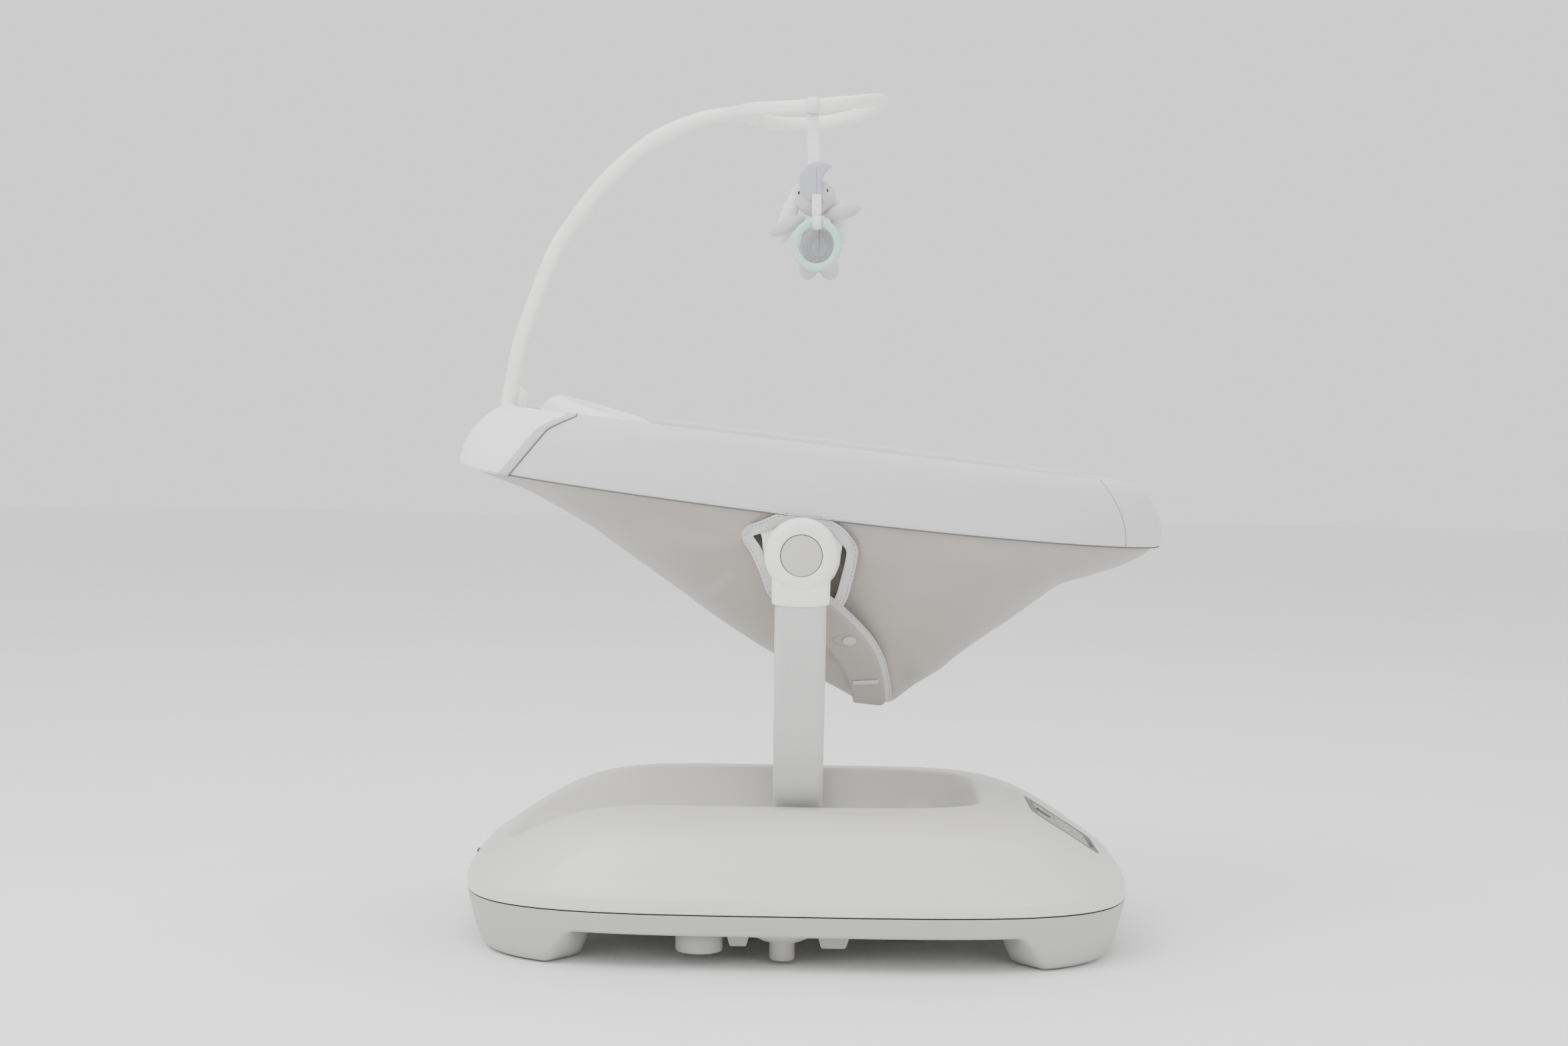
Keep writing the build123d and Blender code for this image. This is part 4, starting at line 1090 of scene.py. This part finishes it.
def make_liner():
    """Padded liner with sewn channels, closed over its top edge."""
    angles = even_angles(340, 185, 2.6, 240)
    rows = []
    levels = np.linspace(-40, -218, 60)

    def ring(level, inset, quilt):
        centre, half_x, half_y, power = bag_ring(level)
        row = []
        for a in angles:
            c, s = superellipse(a, power)
            u = centre + max(half_x - 0.8 * inset, 3) * c
            y = max(half_y - 0.8 * inset, 3) * s
            lift = 0.7 * inset
            if quilt:
                across = abs(sin(pi * (u + 30) / 62))
                bulge = 7.0 * across ** 0.7 * (1 - smooth_step(abs(y), 96, 112))
                side = 3.6 * abs(sin(pi * (level + 40) / 44)) ** 0.6 * smooth_step(abs(y), 104, 124)
                lift += bulge - 4.2
                y -= copysign(side, s)
            row.append(seat_point(u, y, min(level + lift, -24.0)))
        rows.append(row)

    for level in levels[::-1]:
        ring(level, 9.5, False)
    ring(-37.5, 10.0, False)
    ring(-36.5, 12.0, False)
    ring(-37.5, 15.0, False)
    for level in levels:
        ring(level, 18.0, True)
    piece = solid("liner", rows, "seat", "liner_fabric")
    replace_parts(piece, "seat_pad")
    meshes = []
    for channel in range(-3, 6):
        u = -30 + 62 * channel
        across = [y for y in np.linspace(-98, 98, 70) if liner_w(u, y) < -52]
        line = [seat_point(u, y, liner_w(u, y) - 2.6) for y in across]
        if len(line) > 8:
            meshes.append(sweep("quilt_stitches", line, (0.8, 0.8, 2, 6)))
    new_piece("quilt_stitches", join("quilt_stitches", meshes), "seat", "thread", "liner_fabric")


def make_head_pillow():
    """Horseshoe head support with a flat middle, puffed by a cloth simulation."""
    slope = radians(10.6)

    def place(x, y, z):
        u = -258 + x * cos(slope) + z * sin(slope)
        w = 29 - x * sin(slope) + z * cos(slope)
        return seat_point(u, y, w)

    horseshoe = [(112, -112), (84, -114), (50, -109), (20, -88), (2, -48), (-2, 0), (2, 48), (20, 88),
                 (50, 109), (84, 114), (112, 112)]
    path = [place(x, y, 0) for x, y in spline(horseshoe, 6)]

    def section(t):
        ends = min(t, 1 - t)
        size = 18.5 * min(1, 0.45 + 4.5 * ends)
        return oval(size, size, 2.2, 24)

    mesh = sweep("head_bolster", path, section)
    piece = new_piece("head_bolster", mesh, "seat", "cover_fabric")
    puff(piece, 3.0, 0.006)
    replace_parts(piece, "head_pillow")
    seam = [p + (p - place(60, 0, 0)).normalized() * 20.5 * MM for p in path[3:-3]]
    new_piece("bolster_piping", sweep("bolster_piping", seam, (0.9, 0.9, 2, 8)),
              "seat", "cover_fabric")
    rows = []
    for index in range(17):
        u = -250 + index * 5.6
        row = []
        for step in range(25):
            y = 7.2 * (step - 12)
            edge = 1 - (abs(y) / 87) ** 5
            ends = 1 - (abs(index - 8) / 8.1) ** 6
            row.append(seat_point(u, y, liner_w(u, y) + 1.0 + 7.5 * edge * ends))
        rows.append(row)
    mesh = grid("head_rest_pad", rows, wrap=False)
    pad = new_piece("head_rest_pad", mesh, "seat", "cover_fabric")
    add_thickness(pad, 5 * MM)


def seat_strap(name, path, width, lift, material="webbing", thick=2.0):
    """Webbing laid over the liner along a (u, y) path with a lift at each point."""
    line = spline([(*p, h) for p, h in zip(path, lift)], 8)
    rows = []
    count = len(line)
    for i, (u, y, h) in enumerate(line):
        ahead, behind = line[min(i + 1, count - 1)], line[max(i - 1, 0)]
        direction = np.array((ahead[0] - behind[0], ahead[1] - behind[1]))
        direction /= np.linalg.norm(direction) + 1e-9
        side = np.array((direction[1], -direction[0]))
        base = liner_w(u, y)
        row = []
        for k, up in ((-0.5, 0), (-0.5, 0.8), (-0.46, 1), (0, 1), (0.46, 1), (0.5, 0.8), (0.5, 0), (0, 0)):
            row.append(seat_point(u + side[0] * k * width, y + side[1] * k * width, base + h + up * thick))
        rows.append(row)
    return solid(name, rows, "seat", material, "webbing")


def make_harness():
    """Five-point harness: shoulder straps with pads, waist straps and crotch webbing."""
    for word, sign in (("near", -1), ("far", 1)):
        line = [(-150, sign * 44), (-110, sign * 42), (-50, sign * 30), (-12, sign * 15)]
        strap = seat_strap(f"shoulder_strap_{word}", line, 22, [3, 5, 5, 9])
        line = [(-140, sign * 44), (-110, sign * 42), (-70, sign * 34)]
        pad = seat_strap(f"shoulder_pad_{word}", line, 40, [4, 6, 6], material="cover_fabric", thick=8)
        add_bevel(pad, 0.003, 3)
        line = [(12, sign * 128), (10, sign * 90), (10, sign * 50), (9, sign * 20)]
        waist = seat_strap(f"waist_strap_{word}", line, 22, [2, 4, 5, 10])
        if sign < 0:
            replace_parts(strap, "shoulder_straps")
            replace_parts(waist, "waist_straps")
    crotch = seat_strap("crotch_webbing", [(72, 0), (52, 0), (30, 0)], 28, [2, 5, 9])
    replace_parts(crotch, "crotch_strap")


def make_seat():
    """All soft looks that ride on the seat."""
    make_rim()
    make_foot_seams()
    make_head_cover()
    make_bag()
    make_bracket_cowls()
    make_liner()
    make_head_pillow()
    make_harness()


# ---------------------------------------------------------------- toy bar and toy
RING = dict(x=4.0, z=859.5, half_x=73.5, half_y=88.5)


def ring_path(count=96):
    """Centre line of the ring, with its sides sagging a little."""
    points = []
    for step in range(count):
        a = 2 * pi * step / count
        height = RING["z"] + 6.5 * cos(a) - 7.5 * sin(a) ** 2
        points.append(mm(RING["x"] + RING["half_x"] * cos(a), RING["half_y"] * sin(a), height))
    return points


def make_toy_bar():
    """Curved arm with a shallow groove, melting into the open ring."""
    ring = sweep("ring_loop", ring_path(), (6.0, 7.0, 2.6, 24), closed=True)
    piece = new_piece("ring_loop", ring, "toy_bar", "bar_ivory")
    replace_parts(piece, "toy_ring")
    lean = radians(9.7)
    foot = (-306.0, 564.0)
    below = [(foot[0] - d * sin(lean), foot[1] - d * cos(lean)) for d in (51, 34, 17)]
    points = below + [foot, (-300, 599), (-290, 634), (-263, 705), (-241, 740), (-214, 776), (-180, 809),
                      (-151, 829), (-110, 846), (-78, 852.5), (-66, 853.5)]
    path = [mm(x, 0, z) for x, z in spline(points, 8)]

    def section(t):
        flat = smooth_step(t, 0.80, 0.99)
        half_in, half_side = 8.4 - 2.6 * flat, 8.4 + 5.0 * flat
        out = []
        for a, b in oval(half_side, half_in, 2.5, 40):
            dent = 0.9 * exp(-(a / 1.6) ** 2) * (1 - flat) if b < 0 else 0
            out.append((a, b + dent))
        return out

    mesh = sweep("bar_arm", path, section, up=(-0.7, 0, 0.7))
    piece = new_piece("bar_arm", mesh, "toy_bar", "bar_ivory")
    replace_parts(piece, "toy_bar_arm")
    for sign in (-1, 1):
        fork = [(-92, sign * 2, 850.6), (-80, sign * 9, 852), (-70, sign * 22, 852.4),
                (-63, sign * 36, 851.6), (-56, sign * 48, 851)]
        line = [mm(*p) for p in spline(fork, 6)]
        tube = sweep("fork", line, lambda t: oval(6.6 - 1.2 * t, 6.2 + 0.2 * t, 2.4, 20))
        new_piece(f"ring_fork_{'near' if sign < 0 else 'far'}", tube, "toy_bar", "bar_ivory")
    tab = [(-302, 541), (-289.2, 541), (-288.6, 543), (-290.6, 545), (-288.8, 547), (-288.9, 557),
           (-297.6, 566), (-302, 567)]
    rows = []
    for y, grow in ((-3.9, 0.9), (-3.9, 1.0), (3.9, 1.0), (3.9, 0.9)):
        rows.append([mm(-296 + (x + 296) * grow, y, 554 + (z - 554) * grow) for x, z in tab])
    piece = solid("latch_tab", rows, "bar_latch", "bar_ivory")
    add_bevel(piece, 0.0007, 3)
    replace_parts(piece, "toy_bar_latch")


def blob(name, centre, radii, material, tilt=0, shape=None, levels=(32, 24)):
    """Soft egg-shaped part; shape(x, y, z) bends a point of the unit sphere."""
    rotation = Matrix.Rotation(radians(tilt), 3, "Y")
    rows = []
    for i in range(1, levels[1]):
        polar = pi * i / levels[1]
        row = []
        for j in range(levels[0]):
            around = 2 * pi * j / levels[0]
            p = (sin(polar) * cos(around), sin(polar) * sin(around), cos(polar))
            if shape:
                p = shape(*p)
            row.append(mm(*centre) + rotation @ mm(*[p[k] * radii[k] for k in range(3)]))
        rows.append(row)
    piece = solid(name, rows, "plush", material, "plush_fur")
    add_subdivision(piece)
    return piece


STRAP_Y = -88.5


def make_toy():
    """Strap, crescent, long-eared plush and teether ring."""
    top = 852.0
    loop = []
    for angle in np.linspace(radians(-60), radians(240), 26):
        loop.append(mm(4.5, STRAP_Y + 8.2 * cos(angle), top + 8.2 * sin(angle)))
    over = [Vector(p) for p in loop]
    section = ((-5.6, -0.6), (-5.6, 0.5), (-5.2, 0.8), (0, 0.8), (5.2, 0.8), (5.6, 0.5), (5.6, -0.6),
               (0, -0.7))
    rows = []
    for point in over:
        away = (point - mm(4.5, STRAP_Y, top)).normalized()
        rows.append([point + mm(x, 0, 0) + away * d * MM for x, d in section])
    piece = solid("strap_loop", rows, "plush", "strap_white")
    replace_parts(piece, "toy_strap")
    rows = []
    drop = ((845.5, 5.9, 0.4), (838, 5.8, 0.2), (820, 5.7, 1.5), (800, 5.8, 6), (786, 5.9, 11),
            (776, 5.9, 14))
    for z, half, depth in drop:
        y = STRAP_Y - depth
        rows.append([mm(4.5 + (845 - z) * 0.03 + a, y + b, z) for a, b in oval(half, 0.8, 6.0, 24)])
    solid("strap_drop", rows, "plush", "strap_white")
    make_moon()
    make_plush()
    make_teether()


def make_moon():
    """Felt crescent with a bevelled edge and a stitched middle line."""
    centre = Vector((12.1, STRAP_Y - 16.2, 774.0))
    outer = [(20.5 * cos(a), 20.5 * sin(a)) for a in np.linspace(radians(52), radians(293), 60)]
    bite_centre = (26.0, -3.0)
    start = atan2(outer[-1][1] - bite_centre[1], outer[-1][0] - bite_centre[0])
    end = atan2(outer[0][1] - bite_centre[1], outer[0][0] - bite_centre[0])
    if start < 0:
        start += 2 * pi
    radius_start = hypot(outer[-1][0] - bite_centre[0], outer[-1][1] - bite_centre[1])
    radius_end = hypot(outer[0][0] - bite_centre[0], outer[0][1] - bite_centre[1])
    inner = []
    for t in np.linspace(0, 1, 60):
        angle = start + (end - start) * t
        radius = radius_start + (radius_end - radius_start) * t
        inner.append((bite_centre[0] + radius * cos(angle), bite_centre[1] + radius * sin(angle)))
    inner = inner[::-1]
    rows = []
    for (ox, oz), (ix, iz) in zip(outer, inner):
        row = []
        for share, out in ((0.0, 0.0), (0.02, 1.0), (0.10, 1.5), (0.5, 1.7), (0.90, 1.5), (0.98, 1.0),
                           (1.0, 0.0), (0.98, -1.0), (0.5, -1.2), (0.02, -1.0)):
            x = ox + (ix - ox) * share
            z = oz + (iz - oz) * share
            row.append(mm(centre.x + x, centre.y - out, centre.z + z))
        rows.append(row)
    piece = solid("moon_felt", rows, "plush", "felt_lilac")
    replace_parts(piece, "moon_charm")
    stitches = []
    for index in range(12):
        z = centre.z + 15 - index * 2.7
        stitches.append(sweep("stitch", [mm(9.0, centre.y - 1.75, z), mm(9.0, centre.y - 1.75, z - 1.7)],
                              (0.22, 0.2, 2, 5), up=(0, -1, 0)))
    new_piece("moon_stitches", join("moon_stitches", stitches), "plush", "thread", "felt_lilac")


def make_plush():
    """Generic long-eared plush: head, ears, linen body, pointed arms and short legs."""
    head = blob("plush_head_soft", (8, STRAP_Y, 760), (20.5, 15, 20), "plush_fur")
    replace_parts(head, "plush_head")
    body = blob("plush_body_soft", (13, STRAP_Y + 0.5, 712), (20, 13.5, 27.5), "linen",
                shape=lambda x, y, z: (x * (1 - 0.16 * z), y * (1 - 0.1 * z), z))
    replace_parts(body, "plush_torso")

    def ear_shape(x, y, z):
        widen = 0.62 + 0.38 * smooth_step(-z, -0.9, 0.6)
        return x * widen, y, z

    for word, x, tilt in (("near", -17.5, 15), ("far", 31, -17)):
        ear = blob(f"plush_ear_{word}", (x, STRAP_Y + 6, 744), (10, 4.2, 31),
                   "plush_inner", tilt, ear_shape)
        if word == "near":
            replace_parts(ear, "plush_ears")
    arms = (("left", (-19.5, STRAP_Y - 7, 730.5), (20.5, 6.5, 7.5), -28),
            ("right", (36, STRAP_Y - 7, 745.5), (19.5, 6, 7.6), -13))

    def arm_shape(x, y, z):
        narrow = 1 - 0.35 * smooth_step(abs(x), 0.5, 1.0)
        return x, y * narrow, z * narrow

    for word, place, radii, turn in arms:
        arm = blob(f"plush_arm_{word}", place, radii, "plush_fur", turn, arm_shape)
        if word == "left":
            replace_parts(arm, "plush_limbs")
    for word, x in (("left", 2), ("right", 24)):
        blob(f"plush_leg_{word}", (x, STRAP_Y - 1.5, 688), (9.6, 9.2, 11.4), "plush_fur")
    for word, x, z in (("left", -8.6, 764), ("right", 20.4, 766.5)):
        depth = 9.6 if word == "left" else 11.2
        place = (x, STRAP_Y - depth, z)
        blob(f"plush_eye_{word}", place, (0.9, 0.9, 1.9), "eye_black", levels=(12, 8))
    blob("plush_cheek", (21, STRAP_Y - 10.0, 754.5), (1.9, 0.9, 1.0), "cheek_pink", levels=(12, 8))
    thread = (0.35, 0.3, 2, 6)
    line = [mm(8 + 20.9 * sin(a) * 0.12, STRAP_Y - 15.2 * cos(a - 1.2), 760 + 20.2 * sin(a - 1.2))
            for a in np.linspace(0.1, 1.2, 12)]
    mesh = sweep("seam", line, thread, up=(1, 0, 0))
    new_piece("plush_head_seam", mesh, "plush", "thread", "plush_fur")
    line = [mm(13 + 0.6 * sin(k), STRAP_Y + 1 - 13.8 * sqrt(max(0, 1 - ((z - 711.5) / 28.3) ** 2)) - 0.2, z)
            for k, z in enumerate(np.linspace(690, 733, 16))]
    mesh = sweep("seam", line, thread, up=(1, 0, 0))
    new_piece("plush_body_seam", mesh, "plush", "thread", "plush_fur")


TEETHER = (10.0, -111.3, 711.0, 21.5, 4.3)


def make_teether():
    """Soft ring in the loop of its tape."""
    x, y, z, radius, tube = TEETHER
    angles = np.linspace(0, 2 * pi, 96, endpoint=False)
    path = [mm(x + radius * cos(a), y, z + radius * 1.05 * sin(a)) for a in angles]
    mesh = sweep("teether_soft", path, (tube, tube, 2.2, 28), closed=True, up=(0, 1, 0))
    piece = new_piece("teether_soft", mesh, "teether", "mint")
    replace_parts(piece, "teether_ring")
    top = z + radius + 0.6
    rows = []
    for step in range(27):
        angle = radians(-65 + step * 310 / 26)
        away = Vector((0, cos(angle), sin(angle)))
        point = Vector((x, y, top)) + away * 6.7
        rows.append([(point + Vector((a, 0, 0)) + away * d) * MM
                     for a, d in ((-4.8, -0.5), (-4.8, 0.4), (0, 0.7), (4.8, 0.4), (4.8, -0.5), (0, -0.6))])
    tape = [grid("loop", rows, cap_start=True, cap_end=True)]
    rows = []
    for height, depth in ((top + 6.5, y - 0.3), (745, y + 0.2), (755, y + 2.0), (762, y + 4.4)):
        rows.append([mm(x - 0.4 + a, depth + b, height) for a, b in oval(4.7, 0.7, 6.0, 24)])
    tape.append(grid("tape", rows, cap_start=True, cap_end=True))
    piece = new_piece("teether_strap", join("teether_strap", tape), "plush", "strap_white")
    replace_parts(piece, "teether_tape")


make_camera()
make_stage()
dress_cad()
make_base()
make_yoke()
make_seat()
make_toy_bar()
make_toy()
